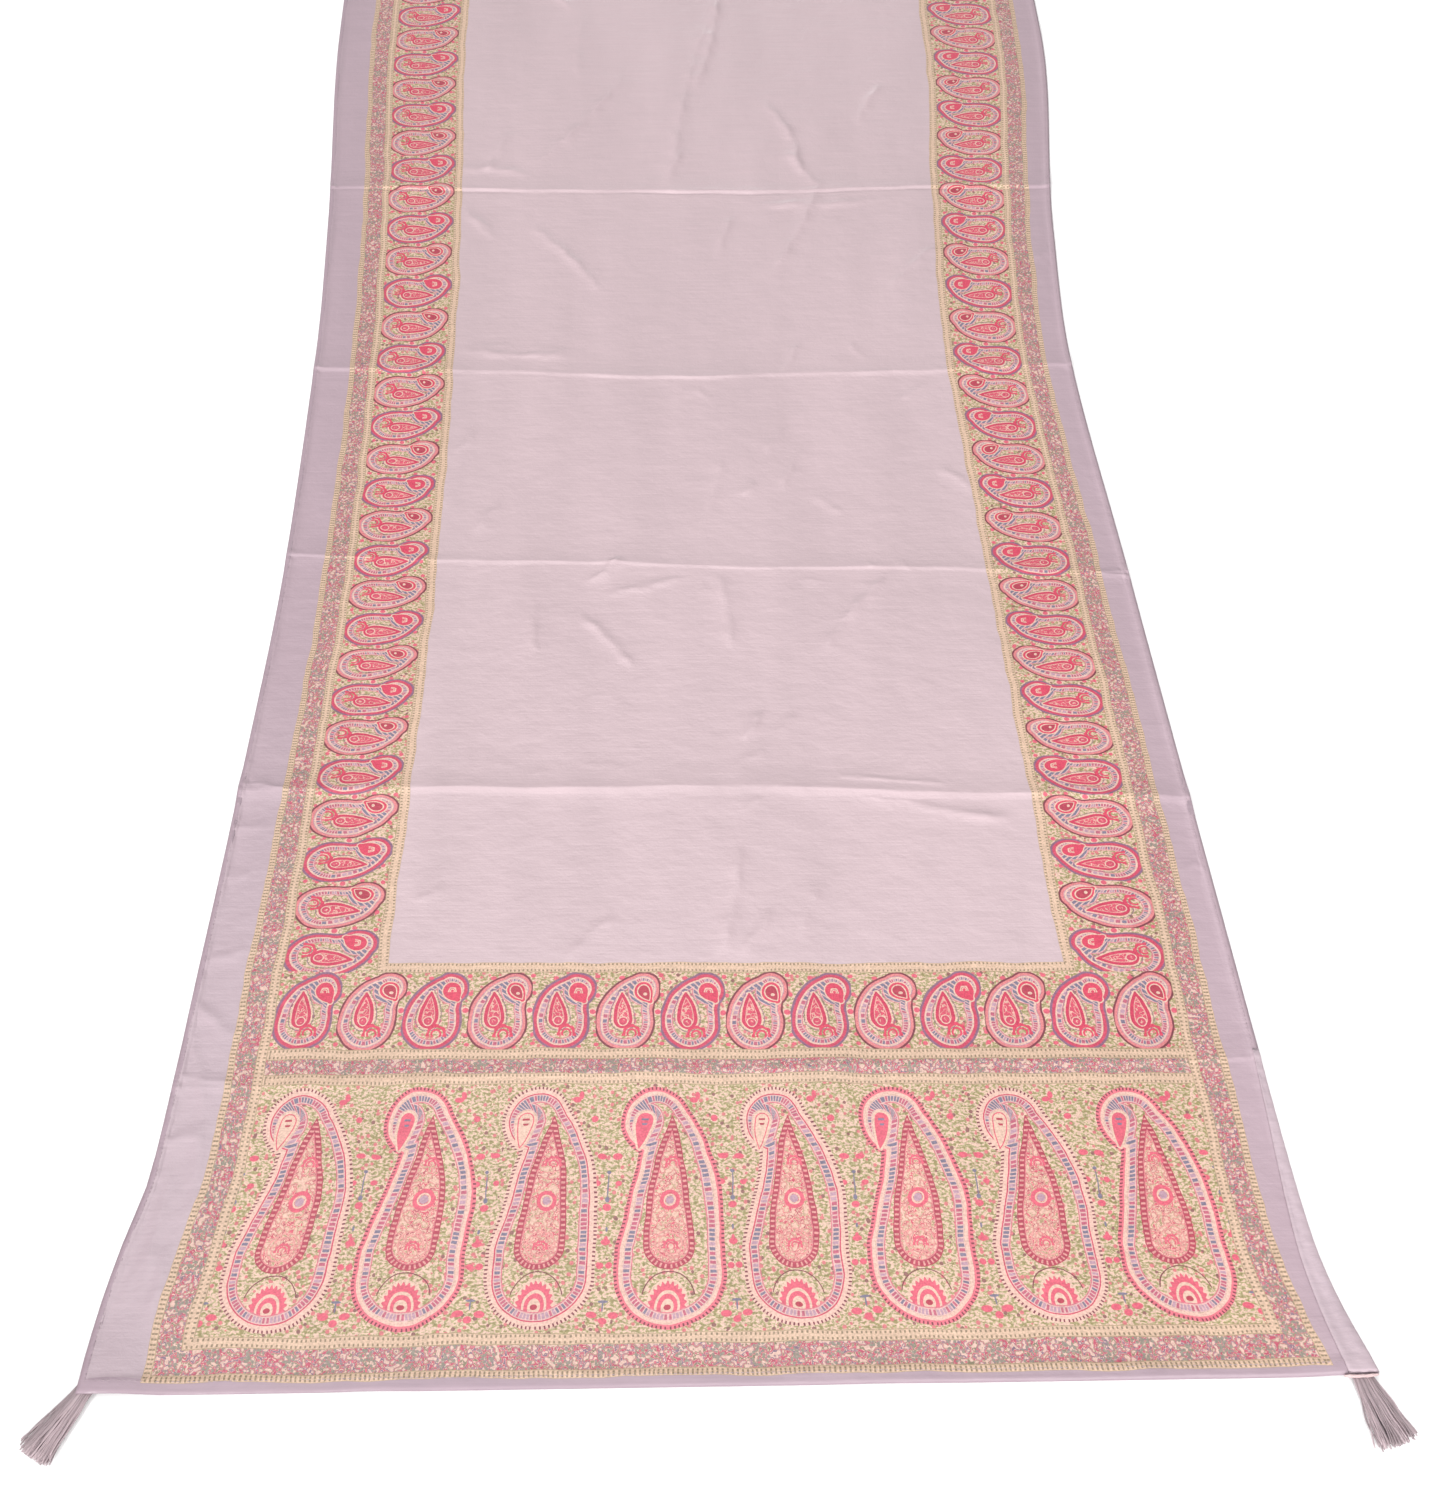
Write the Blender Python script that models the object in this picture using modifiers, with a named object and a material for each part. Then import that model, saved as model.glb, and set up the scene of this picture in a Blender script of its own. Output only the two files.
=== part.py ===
"""A printed dupatta stole, laid out flat on its back, with a tassel sewn at each corner.

Metres, +Z up. X runs across the stole and Y along it, from the near end to the far end.
The origin is on the underside, at the middle of the stole.
"""
import math
from collections import namedtuple

import bmesh
import bpy

# The cut: one straight length of cloth, hemmed all round
CUT_WIDTH = 0.900
CUT_LENGTH = 2.344
END_HEM = 0.010
SIDE_HEM = 0.005

# Walls of the cloth, and of the hems, where it is turned twice
WALL = 0.0012
HEM_WALL = 0.0020
SEAM = 0.0004

# The near right corner: its margin is folded in, and its turned end stands up as a lip
FOLD_LENGTH = 0.250
FOLD_WIDTH = 0.020
FOLD_NARROWING = 1.3
FOLD_WALL = 0.0010
FOLD_CLEAR = 0.0006
LIP_LENGTH = 0.024
LIP_HEIGHT = 0.0034
LIP_WALL = 0.0020
LIP_CLEAR = 0.0006
LIP_PINCH = 0.45
LIP_PINCH_REACH = 0.5
LIP_END_TAPER = 0.35
LIP_BOW = 0.0008
LIP_LENGTHS = 8
LIP_SIDES = 10

# How the cut lies on the floor. The stole is drawn in at its middle and spread at its ends.
# cloth is the place along the cut, floor is how far that lies from the near end, left and
# right are the half widths there, and slant is how far the left edge runs ahead.
Lie = namedtuple("Lie", "cloth floor left right slant")
LIES = [
    Lie(0.000, 0.000, 0.449, 0.450, 0.006),
    Lie(0.050, 0.050, 0.446, 0.437, 0.007),
    Lie(0.100, 0.100, 0.438, 0.428, 0.008),
    Lie(0.160, 0.160, 0.425, 0.424, 0.010),
    Lie(0.335, 0.335, 0.415, 0.418, 0.012),
    Lie(0.550, 0.528, 0.406, 0.411, 0.012),
    Lie(0.850, 0.784, 0.398, 0.402, 0.012),
    Lie(1.150, 1.073, 0.401, 0.392, 0.012),
    Lie(1.350, 1.294, 0.411, 0.405, 0.012),
    Lie(1.700, 1.676, 0.436, 0.444, 0.010),
    Lie(2.000, 1.999, 0.443, 0.449, 0.008),
    Lie(2.344, 2.344, 0.449, 0.450, 0.000),
]

# The creases that folding left across the cloth: the place along the cut at the middle, how
# far the line runs ahead of that at the left and the right edge, its height, and how far
# the slope on each side of it reaches.
Crease = namedtuple("Crease", "cloth left right height reach")
CREASES = [
    Crease(0.242, -0.017, 0.008, 0.0026, 0.026),
    Crease(0.532, -0.004, -0.013, 0.0050, 0.034),
    Crease(0.837, 0.014, -0.007, 0.0030, 0.026),
    Crease(1.117, 0.015, 0.020, 0.0036, 0.030),
    Crease(1.407, 0.008, 0.012, 0.0042, 0.032),
    Crease(1.697, -0.006, 0.010, 0.0014, 0.030),
    Crease(1.990, 0.010, -0.008, 0.0030, 0.028),
]

# Where the cloth is lifted off the floor: the middle of the lift across and along the cut,
# how far it reaches each way, and its height.
Lift = namedtuple("Lift", "across along reach_across reach_along height")
LIFTS = [
    Lift(0.000, 0.000, 0.070, 0.070, 0.0054),
    Lift(0.030, 0.000, 0.022, 0.040, 0.0032),
    Lift(0.206, 0.000, 0.040, 0.045, 0.0020),
    Lift(0.560, 0.000, 0.060, 0.050, 0.0012),
    Lift(0.900, 0.000, 0.065, 0.070, 0.0054),
    Lift(0.000, 2.344, 0.065, 0.070, 0.0054),
    Lift(0.290, 2.344, 0.050, 0.045, 0.0018),
    Lift(0.870, 2.344, 0.022, 0.040, 0.0028),
    Lift(0.900, 2.344, 0.070, 0.070, 0.0054),
]

# Mesh stations across the cut, closer together at the lifted edges
EDGE_STEPS = [0.012, 0.022, 0.032, 0.046, 0.070, 0.110, 0.170, 0.240, 0.320, 0.390]
END_STEPS = [0.018, 0.032, 0.050, 0.075, 0.110, 0.160]
CREASE_STEPS = [-1.0, -0.35, 0.0, 0.35, 1.0]
PLAIN_STEPS = [0.3, 0.7]

# Tassels: a bundle of threads caught at the corner and cut off straight
Tassel = namedtuple("Tassel", "name across along heading spread")
TASSELS = [
    Tassel("tassel_near_left", 0.005, 0.004, 237.5, 0.0130),
    Tassel("tassel_near_right", 0.889, 0.003, 287.0, 0.0148),
    Tassel("tassel_far_left", 0.005, 2.341, 128.0, 0.0140),
    Tassel("tassel_far_right", 0.895, 2.341, 55.0, 0.0132),
]
STRANDS_ACROSS = 12
STRANDS_HIGH = 4
STRAND_GAP = 0.00014
STRAND_TAPER = 0.88
TASSEL_LENGTH = 0.052
TASSEL_CLEAR = 0.0005
TIP_HALF_HEIGHT = 0.0027
TIP_UNEVEN = 0.0030
WAIST_PART = 0.45
HEAD_ROUNDING = 0.35
# Rings of the head, from its buried back to the plate that the strands grow from: the
# place along the tassel, and the half width and half height there
Ring = namedtuple("Ring", "along width height")
HEAD_RINGS = [
    Ring(-0.0060, 0.0042, 0.0014),
    Ring(-0.0020, 0.0056, 0.0018),
    Ring(0.0040, 0.0060, 0.0019),
    Ring(0.0080, 0.0070, 0.0024),
]

# Colours as a Principled surface takes them
CLOTH_COLOUR = (0.60, 0.50, 0.55, 1.0)
HEM_COLOUR = (0.53, 0.43, 0.49, 1.0)
FOLD_COLOUR = (0.66, 0.54, 0.58, 1.0)
THREAD_COLOUR = (0.40, 0.31, 0.33, 1.0)


def clear_scene():
    for thing in list(bpy.data.objects):
        bpy.data.objects.remove(thing, do_unlink=True)


def make_material(name, colour, roughness):
    material = bpy.data.materials.new(name)
    material.use_nodes = True
    surface = material.node_tree.nodes["Principled BSDF"]
    surface.inputs["Base Color"].default_value = colour
    surface.inputs["Roughness"].default_value = roughness
    surface.inputs["Metallic"].default_value = 0.0
    return material


def read_table(rows, key, column, at):
    """A smooth curve through one column of a table, read at one place of its key column."""
    keys = [getattr(row, key) for row in rows]
    values = [getattr(row, column) for row in rows]
    last = len(rows) - 1
    at = min(max(at, keys[0]), keys[last])
    i = 0
    while i < last - 1 and keys[i + 1] < at:
        i += 1
    steps = [(values[k + 1] - values[k]) / (keys[k + 1] - keys[k]) for k in range(last)]

    def slope(k):
        if k == 0:
            return steps[0]
        if k == last:
            return steps[last - 1]
        if steps[k - 1] * steps[k] <= 0.0:
            return 0.0
        return 2.0 * steps[k - 1] * steps[k] / (steps[k - 1] + steps[k])

    gap = keys[i + 1] - keys[i]
    f = (at - keys[i]) / gap
    start = values[i] * (1 + 2 * f) * (1 - f) ** 2 + slope(i) * gap * f * (1 - f) ** 2
    end = values[i + 1] * f * f * (3 - 2 * f) - slope(i + 1) * gap * f * f * (1 - f)
    return start + end


def crease_drift(across, along):
    """How far a line across the cut drifts from straight, to follow the creases beside it."""
    side = 2.0 * across / CUT_WIDTH - 1.0
    column = "left" if side < 0.0 else "right"
    ends = [Crease(0.0, 0.0, 0.0, 0.0, 0.0), Crease(CUT_LENGTH, 0.0, 0.0, 0.0, 0.0)]
    rows = [ends[0]] + CREASES + [ends[1]]
    return abs(side) * read_table(rows, "cloth", column, along)


def height_at(across, along):
    """How high the underside stands over the floor, at a place of the creases' own grid."""
    height = 0.0
    for crease in CREASES:
        away = abs(along - crease.cloth) / crease.reach
        if away < 1.0:
            height += crease.height * (1.0 - away) ** 2
    for lift in LIFTS:
        away = math.hypot((across - lift.across) / lift.reach_across,
                          (along - lift.along) / lift.reach_along)
        if away < 1.0:
            height += lift.height * math.cos(0.5 * math.pi * away) ** 2
    return height


def lay(across, along, raised=0.0):
    """Where a place of the cut lies in the room."""
    cut = along + crease_drift(across, along)
    side = 2.0 * across / CUT_WIDTH - 1.0
    half = read_table(LIES, "cloth", "left" if side < 0.0 else "right", cut)
    x = side * half
    y = read_table(LIES, "cloth", "floor", cut) - side * read_table(LIES, "cloth", "slant", cut)
    return x, y - 0.5 * LIES[-1].floor, height_at(across, along) + raised


def stations_across():
    left = [SIDE_HEM + SEAM] + EDGE_STEPS
    right = [CUT_WIDTH - place for place in reversed(left)]
    return left + [0.5 * CUT_WIDTH] + right


def stations_along():
    """Five lines on each crease, two between creases, and closer lines at both ends."""
    near = [END_HEM + SEAM] + END_STEPS
    far = [CUT_LENGTH - place for place in reversed(near)]
    lines = list(near)
    last = None
    for crease in CREASES:
        foot = crease.cloth - crease.reach
        if last is not None:
            lines += [last + part * (foot - last) for part in PLAIN_STEPS]
        lines += [crease.cloth + step * crease.reach for step in CREASE_STEPS]
        last = crease.cloth + crease.reach
    lines += [last + 0.5 * (far[0] - last)]
    return lines + far


def sheet(name, across, along, wall, material, raised=0.0):
    """A piece of cloth over the given stations: a grid laid by the table, with its wall."""
    columns = len(across(along[0])) - 1
    rows = len(along) - 1
    bm = bmesh.new()
    bmesh.ops.create_grid(bm, x_segments=columns, y_segments=rows, size=1.0)
    for point in bm.verts:
        column = round(0.5 * (point.co.x + 1.0) * columns)
        row = round(0.5 * (point.co.y + 1.0) * rows)
        point.co = lay(across(along[row])[column], along[row], raised)
    mesh = bpy.data.meshes.new(name)
    bm.to_mesh(mesh)
    bm.free()
    mesh.materials.append(material)
    mesh.shade_smooth()
    piece = bpy.data.objects.new(name, mesh)
    solid = piece.modifiers.new("wall", "SOLIDIFY")
    solid.thickness = wall
    solid.offset = 1.0
    return piece


def make_cloth(cloth, hem):
    """The body of the stole, and the four turned hems round it."""
    across = stations_across()
    along = stations_along()
    whole = [0.0] + across + [CUT_WIDTH]
    far_hem = CUT_LENGTH - END_HEM
    return [
        sheet("cloth", lambda _: across, along, WALL, cloth),
        sheet("hem_near", lambda _: whole, [0.0, 0.5 * END_HEM, END_HEM], HEM_WALL, hem),
        sheet("hem_far", lambda _: whole, [far_hem, far_hem + 0.5 * END_HEM, CUT_LENGTH],
              HEM_WALL, hem),
        sheet("hem_left", lambda _: [0.0, SIDE_HEM], along, HEM_WALL, hem),
        sheet("hem_right", lambda _: [CUT_WIDTH - SIDE_HEM, CUT_WIDTH], along, HEM_WALL, hem),
    ]


def make_side_fold(material):
    """The margin folded in at the near right corner, widest at the end hem."""
    lines = [0.0, 0.5 * END_HEM] + [place for place in stations_along() if place < FOLD_LENGTH]

    def across(along):
        part = 1.0 - along / FOLD_LENGTH
        width = SIDE_HEM + (FOLD_WIDTH - SIDE_HEM) * part ** FOLD_NARROWING
        return [CUT_WIDTH - width, CUT_WIDTH - 0.5 * width, CUT_WIDTH]

    return sheet("side_fold_near_right", across, lines, FOLD_WALL, material,
                 HEM_WALL + FOLD_CLEAR)


def make_corner_lip(material):
    """The turned end of the folded corner: a flat roll, pinched where the tassel is sewn."""
    bm = bmesh.new()
    bmesh.ops.create_cone(bm, cap_ends=True, segments=LIP_SIDES, radius1=1.0, radius2=1.0,
                          depth=LIP_LENGTH)
    sides = [edge for edge in bm.edges if abs(edge.verts[0].co.z - edge.verts[1].co.z) > SEAM]
    bmesh.ops.subdivide_edges(bm, edges=sides, cuts=LIP_LENGTHS - 1)
    middle = CUT_WIDTH - 0.5 * LIP_LENGTH
    for point in bm.verts:
        along = point.co.z
        part = abs(2.0 * along / LIP_LENGTH)
        pinch = 1.0 - LIP_PINCH * max(0.0, 1.0 - part / LIP_PINCH_REACH) ** 2
        end = 1.0 - LIP_END_TAPER * part ** 4
        x, y, z = lay(middle + along, 0.0)
        y -= 0.5 * LIP_WALL + SEAM + LIP_BOW * (1.0 - part * part)
        z += 0.5 * LIP_HEIGHT + LIP_CLEAR
        point.co = (x,
                    y + 0.5 * LIP_WALL * end * point.co.x,
                    z + 0.5 * LIP_HEIGHT * pinch * end * point.co.y)
    mesh = bpy.data.meshes.new("corner_lip_near_right")
    bm.to_mesh(mesh)
    bm.free()
    mesh.materials.append(material)
    mesh.shade_smooth()
    return bpy.data.objects.new("corner_lip_near_right", mesh)


def round_off(u, v):
    """A place in a square, moved to the same place in a square with round corners."""
    return (u * math.sqrt(1.0 - HEAD_ROUNDING * v * v),
            v * math.sqrt(1.0 - HEAD_ROUNDING * u * u))


def make_tassel(tassel, material):
    """A head whose front plate is a grid of cells, with one strand grown from each cell."""
    bm = bmesh.new()
    bmesh.ops.create_grid(bm, x_segments=STRANDS_ACROSS, y_segments=STRANDS_HIGH, size=1.0)
    cells = list(bm.faces)
    rim = [edge for edge in bm.edges if edge.is_boundary]
    rings = {0.0: HEAD_RINGS[-1]}
    for depth, ring in enumerate(reversed(HEAD_RINGS[:-1]), start=1):
        grown = bmesh.ops.extrude_edge_only(bm, edges=rim)["geom"]
        rim = [part for part in grown if isinstance(part, bmesh.types.BMEdge)]
        rings[-float(depth)] = ring
        for point in [part for part in grown if isinstance(part, bmesh.types.BMVert)]:
            point.co.z = -float(depth)
    bmesh.ops.holes_fill(bm, edges=rim, sides=0)
    for point in bm.verts:
        ring = rings[point.co.z]
        u, v = round_off(point.co.x, point.co.y)
        point.co = (ring.along, u * ring.width, TASSEL_CLEAR + (1.0 + v) * ring.height)
    bm.normal_update()
    bmesh.ops.inset_individual(bm, faces=cells, thickness=STRAND_GAP, use_even_offset=True)
    grow_strands(bm, cells, tassel.spread)
    bmesh.ops.recalc_face_normals(bm, faces=bm.faces)
    mesh = bpy.data.meshes.new(tassel.name)
    bm.to_mesh(mesh)
    bm.free()
    mesh.materials.append(material)
    piece = bpy.data.objects.new(tassel.name, mesh)
    x, y, _ = lay(tassel.across, tassel.along)
    piece.location = (x, y, 0.0)
    piece.rotation_euler = (0.0, 0.0, math.radians(tassel.heading))
    return piece


def grow_strands(bm, cells, spread):
    """Each cell's face is drawn out twice, fanning towards the flat brush of the tips."""
    plate = HEAD_RINGS[-1]
    waist = Ring(plate.along + WAIST_PART * (TASSEL_LENGTH - plate.along),
                 plate.width + WAIST_PART * (spread - plate.width),
                 plate.height + WAIST_PART * (TIP_HALF_HEIGHT - plate.height))
    tips = Ring(TASSEL_LENGTH, spread, TIP_HALF_HEIGHT)
    for last, ring in ((plate, waist), (waist, tips)):
        cells = bmesh.ops.extrude_discrete_faces(bm, faces=cells)["faces"]
        for number, cell in enumerate(cells):
            centre = cell.calc_center_median()
            u = centre.y / last.width
            v = (centre.z - TASSEL_CLEAR) / last.height
            length = ring.along - last.along
            if ring is tips:
                length += TIP_UNEVEN * (0.5 * math.sin(2.4 * number) - u * u)
            for corner in cell.verts:
                wide = (corner.co.y - centre.y) * STRAND_TAPER * ring.width / last.width
                high = (corner.co.z - centre.z) * STRAND_TAPER * ring.height / last.height
                corner.co.x += length
                corner.co.y = u * ring.width + wide
                corner.co.z = TASSEL_CLEAR + v * ring.height + high


def main():
    clear_scene()
    cloth = make_material("printed silk", CLOTH_COLOUR, 0.55)
    hem = make_material("turned hem", HEM_COLOUR, 0.60)
    fold = make_material("cloth underside", FOLD_COLOUR, 0.60)
    thread = make_material("tassel thread", THREAD_COLOUR, 0.80)
    stole = bpy.data.collections.new("dupatta_stole")
    bpy.context.scene.collection.children.link(stole)
    pieces = make_cloth(cloth, hem)
    pieces.append(make_side_fold(fold))
    pieces.append(make_corner_lip(fold))
    pieces += [make_tassel(tassel, thread) for tassel in TASSELS]
    for piece in pieces:
        stole.objects.link(piece)


main()
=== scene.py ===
# %% [markdown]
# # A printed dupatta stole, laid out flat
# A dupatta stole is one straight length of light satin, printed with a border of paisleys,
# hemmed all round, with a tassel sewn to each corner. The CAD model is the fixed frame, and
# this script dresses it: the cloth is one thin shell over the whole cut, and the hems, the
# folded corner, the stitches and the tassels are pieces of their own on it.

import math
from collections import namedtuple

import bpy
import numpy as np
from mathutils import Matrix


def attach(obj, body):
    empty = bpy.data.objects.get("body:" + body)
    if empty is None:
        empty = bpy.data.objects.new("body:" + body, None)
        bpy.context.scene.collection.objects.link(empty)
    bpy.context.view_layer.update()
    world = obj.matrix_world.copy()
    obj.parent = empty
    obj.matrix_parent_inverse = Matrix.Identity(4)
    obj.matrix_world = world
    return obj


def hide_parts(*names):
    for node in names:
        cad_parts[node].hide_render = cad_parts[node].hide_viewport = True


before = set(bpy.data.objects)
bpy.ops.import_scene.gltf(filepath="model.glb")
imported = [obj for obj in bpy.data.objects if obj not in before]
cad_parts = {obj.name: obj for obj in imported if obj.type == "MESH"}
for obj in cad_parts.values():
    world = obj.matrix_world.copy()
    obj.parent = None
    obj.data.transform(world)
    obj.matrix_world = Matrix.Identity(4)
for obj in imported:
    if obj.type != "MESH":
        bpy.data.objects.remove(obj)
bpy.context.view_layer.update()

# %% [markdown]
# ## Camera
# The photograph looks down on the near end from standing height, so the far part of the stole
# leaves the picture at the top. The lens is given for the longer side of the picture.

# %% Camera
CAMERA_PLACE = (-0.0158, -1.5754, 1.2628)
CAMERA_TURN = (37.25, 0.0, -1.65)
CAMERA_LENS = 43.45

bpy.ops.object.select_all(action="DESELECT")
bpy.ops.object.camera_add(location=CAMERA_PLACE,
                          rotation=[math.radians(turn) for turn in CAMERA_TURN])
camera = bpy.context.object
camera.data.lens = CAMERA_LENS
camera.data.sensor_width = 36.0
bpy.context.scene.camera = camera
print("camera", CAMERA_PLACE, "lens", CAMERA_LENS)

# %% [markdown]
# ## Colours and nodes
# Colours are written as sRGB hex, as a paint program shows them, and one function turns them
# to the linear values that a shader needs. A second small function adds one node to the newest
# material, with its settings and its links, so that a material reads as a list of steps.

# %% Two helpers for materials


def ink(code):
    """An sRGB hex colour as linear red, green, blue and alpha."""
    parts = [int(code[i:i + 2], 16) / 255.0 for i in (1, 3, 5)]
    linear = [p / 12.92 if p <= 0.04045 else ((p + 0.055) / 1.055) ** 2.4 for p in parts]
    return (*linear, 1.0)


def add(kind, *inputs, out=0, **settings):
    """One new node in the newest material. kind is its name and, after a space, its operation.

    An operation alone stands for a Math node. The inputs come in the order of the node's
    sockets: a value or another node's output, and None leaves a socket as it is. out says
    which output is given back, and a slice gives several.
    """
    name, _, operation = ("Math " + kind if kind.isupper() else kind).partition(" ")
    node = tree.nodes.new("ShaderNode" + name)
    if operation:
        node.operation = operation
    for setting, value in settings.items():
        setattr(node, setting, value)
    sockets = [socket for socket in node.inputs if socket.enabled]
    for socket, value in zip(sockets, inputs):
        if isinstance(value, bpy.types.NodeSocket):
            tree.links.new(value, socket)
        elif value is not None:
            socket.default_value = value
    return [socket for socket in node.outputs if socket.enabled][out]


def new_material(name):
    """A material, whose node tree is then the one to add to, and its Principled surface."""
    global tree
    material = bpy.data.materials.new(name)
    material.use_nodes = True
    tree = material.node_tree
    return material, tree.nodes["Principled BSDF"]


# %% [markdown]
# ## Floor and light
# The stole lies on a plain white sweep, lit past white as in the photograph. One broad softbox
# stands over the camera and one hangs overhead. A low window light from the front, at the
# left, picks out the near side of every crease as a bright line, and a rim light just over
# the floor makes the satin shine along the far side.

# %% Floor
FLOOR_SIZE = 12.0
bpy.ops.mesh.primitive_plane_add(size=FLOOR_SIZE, location=(0.0, 0.0, 0.0))
floor = bpy.context.object
floor.name = "floor"
paper, surface = new_material("matt white backdrop paper")
surface.inputs["Base Color"].default_value = ink("#f7f6f6")
surface.inputs["Roughness"].default_value = 0.9
surface.inputs["Specular IOR Level"].default_value = 0.1
floor.data.materials.append(paper)

# %% Lights
Lamp = namedtuple("Lamp", "name kind place aim size power")
LAMPS = [
    Lamp("front softbox", "AREA", (0.7, -2.7, 2.0), (0.0, -0.6, 0.0), 1.6, 46.0),
    Lamp("overhead softbox", "AREA", (-0.5, -0.2, 2.9), (0.0, -0.1, 0.0), 2.4, 36.0),
    Lamp("low window light", "SUN", (-2.2, -3.3, 1.5), (0.0, 0.0, 0.0), math.radians(6.0), 2.8),
    Lamp("rim light", "AREA", (0.2, 5.0, 0.60), (0.0, 0.0, 0.0), 1.0, 16.0),
]
for lamp in LAMPS:
    bpy.ops.object.light_add(type=lamp.kind, location=lamp.place)
    light = bpy.context.object
    light.name = lamp.name
    light.data.energy = lamp.power
    setattr(light.data, "size" if lamp.kind == "AREA" else "angle", lamp.size)
    aim = [b - a for a, b in zip(lamp.place, lamp.aim)]
    light.rotation_euler = (math.atan2(math.hypot(aim[0], aim[1]), -aim[2]), 0.0,
                            math.atan2(aim[1], aim[0]) - math.pi / 2)

world = bpy.data.worlds.new("studio")
world.use_nodes = True
world.node_tree.nodes["Background"].inputs["Color"].default_value = (1.0, 1.0, 1.0, 1.0)
world.node_tree.nodes["Background"].inputs["Strength"].default_value = 0.50
bpy.context.scene.world = world
bpy.context.scene.view_settings.view_transform = "Standard"
print("lamps", [lamp.name for lamp in LAMPS])

# %% [markdown]
# ## How the cloth lies
# Every piece is placed on the flat cut: how far across it and how far along it. Three short
# tables turn such a place into a place in the room. The first says how the cut is drawn in
# at its middle and spread at its ends, the second lists the creases that folding left, and
# the third says where the cloth is lifted. They are the CAD model's tables, but for one lift
# beside the near left corner, so the shell follows its solid. Only the slopes of the creases
# are lower than the solid's, and a sharp crest stands on them.

# %% The cut, and how it lies
CUT_WIDTH = 0.900
CUT_LENGTH = 2.344
END_HEM = 0.010
SIDE_HEM = 0.005
CLOTH_THICKNESS = 0.0004
FLOOR_CLEAR = 0.0002

# cloth is the place along the cut, floor is how far that lies from the near end, left and
# right are the half widths there, and slant is how far the left edge runs ahead.
Lie = namedtuple("Lie", "cloth floor left right slant")
LIES = [Lie(*row) for row in [
    (0.000, 0.000, 0.449, 0.450, 0.006), (0.050, 0.050, 0.446, 0.437, 0.007),
    (0.100, 0.100, 0.438, 0.428, 0.008), (0.160, 0.160, 0.425, 0.424, 0.010),
    (0.335, 0.335, 0.415, 0.418, 0.012), (0.550, 0.528, 0.406, 0.411, 0.012),
    (0.850, 0.784, 0.398, 0.402, 0.012), (1.150, 1.073, 0.401, 0.392, 0.012),
    (1.350, 1.294, 0.411, 0.405, 0.012), (1.700, 1.676, 0.436, 0.444, 0.010),
    (2.000, 1.999, 0.443, 0.449, 0.008), (2.344, 2.344, 0.449, 0.450, 0.000),
]]

# The creases that folding left across the cloth: the place along the cut at the middle, how
# far the line runs ahead of that at the left and the right edge, its height, and how far
# the slope on each side of it reaches.
Crease = namedtuple("Crease", "cloth left right height reach")
CREASES = [Crease(*row) for row in [
    (0.242, -0.017, 0.008, 0.0026, 0.026), (0.532, -0.004, -0.013, 0.0050, 0.034),
    (0.837, 0.014, -0.007, 0.0030, 0.026), (1.117, 0.015, 0.020, 0.0036, 0.030),
    (1.407, 0.008, 0.012, 0.0042, 0.032), (1.697, -0.006, 0.010, 0.0014, 0.030),
    (1.990, 0.010, -0.008, 0.0030, 0.028),
]]

# Where the cloth is lifted off the floor: the middle of the lift across and along the cut,
# how far it reaches each way, and its height.
Lift = namedtuple("Lift", "across along reach_across reach_along height")
LIFTS = [Lift(*row) for row in [
    (0.000, 0.000, 0.070, 0.070, 0.0054), (0.030, 0.000, 0.030, 0.050, 0.0020),
    (0.206, 0.000, 0.040, 0.045, 0.0020), (0.560, 0.000, 0.060, 0.050, 0.0012),
    (0.900, 0.000, 0.065, 0.070, 0.0054), (0.000, 2.344, 0.065, 0.070, 0.0054),
    (0.290, 2.344, 0.050, 0.045, 0.0018), (0.870, 2.344, 0.022, 0.040, 0.0028),
    (0.900, 2.344, 0.070, 0.070, 0.0054),
]]


def read_table(rows, key, column, at):
    """A smooth curve through one column of a table, read at many places of its key column."""
    keys = np.array([getattr(row, key) for row in rows])
    values = np.array([getattr(row, column) for row in rows])
    steps = np.diff(values) / np.diff(keys)
    before, after = steps[:-1], steps[1:]
    together = np.where(before * after > 0.0, before + after, 1.0)
    inner = np.where(before * after > 0.0, 2.0 * before * after / together, 0.0)
    slopes = np.concatenate([steps[:1], inner, steps[-1:]])
    at = np.clip(at, keys[0], keys[-1])
    i = np.clip(np.searchsorted(keys, at) - 1, 0, len(keys) - 2)
    gap = keys[i + 1] - keys[i]
    f = (at - keys[i]) / gap
    start = values[i] * (1 + 2 * f) * (1 - f) ** 2 + slopes[i] * gap * f * (1 - f) ** 2
    return start + values[i + 1] * f * f * (3 - 2 * f) - slopes[i + 1] * gap * f * f * (1 - f)


def crease_drift(across, along):
    """How far a line across the cut drifts from straight, to follow the creases beside it."""
    side = 2.0 * across / CUT_WIDTH - 1.0
    rows = [Crease(0.0, 0.0, 0.0, 0.0, 0.0), *CREASES, Crease(CUT_LENGTH, 0.0, 0.0, 0.0, 0.0)]
    left = read_table(rows, "cloth", "left", along)
    right = read_table(rows, "cloth", "right", along)
    return np.abs(side) * np.where(side < 0.0, left, right)
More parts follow.
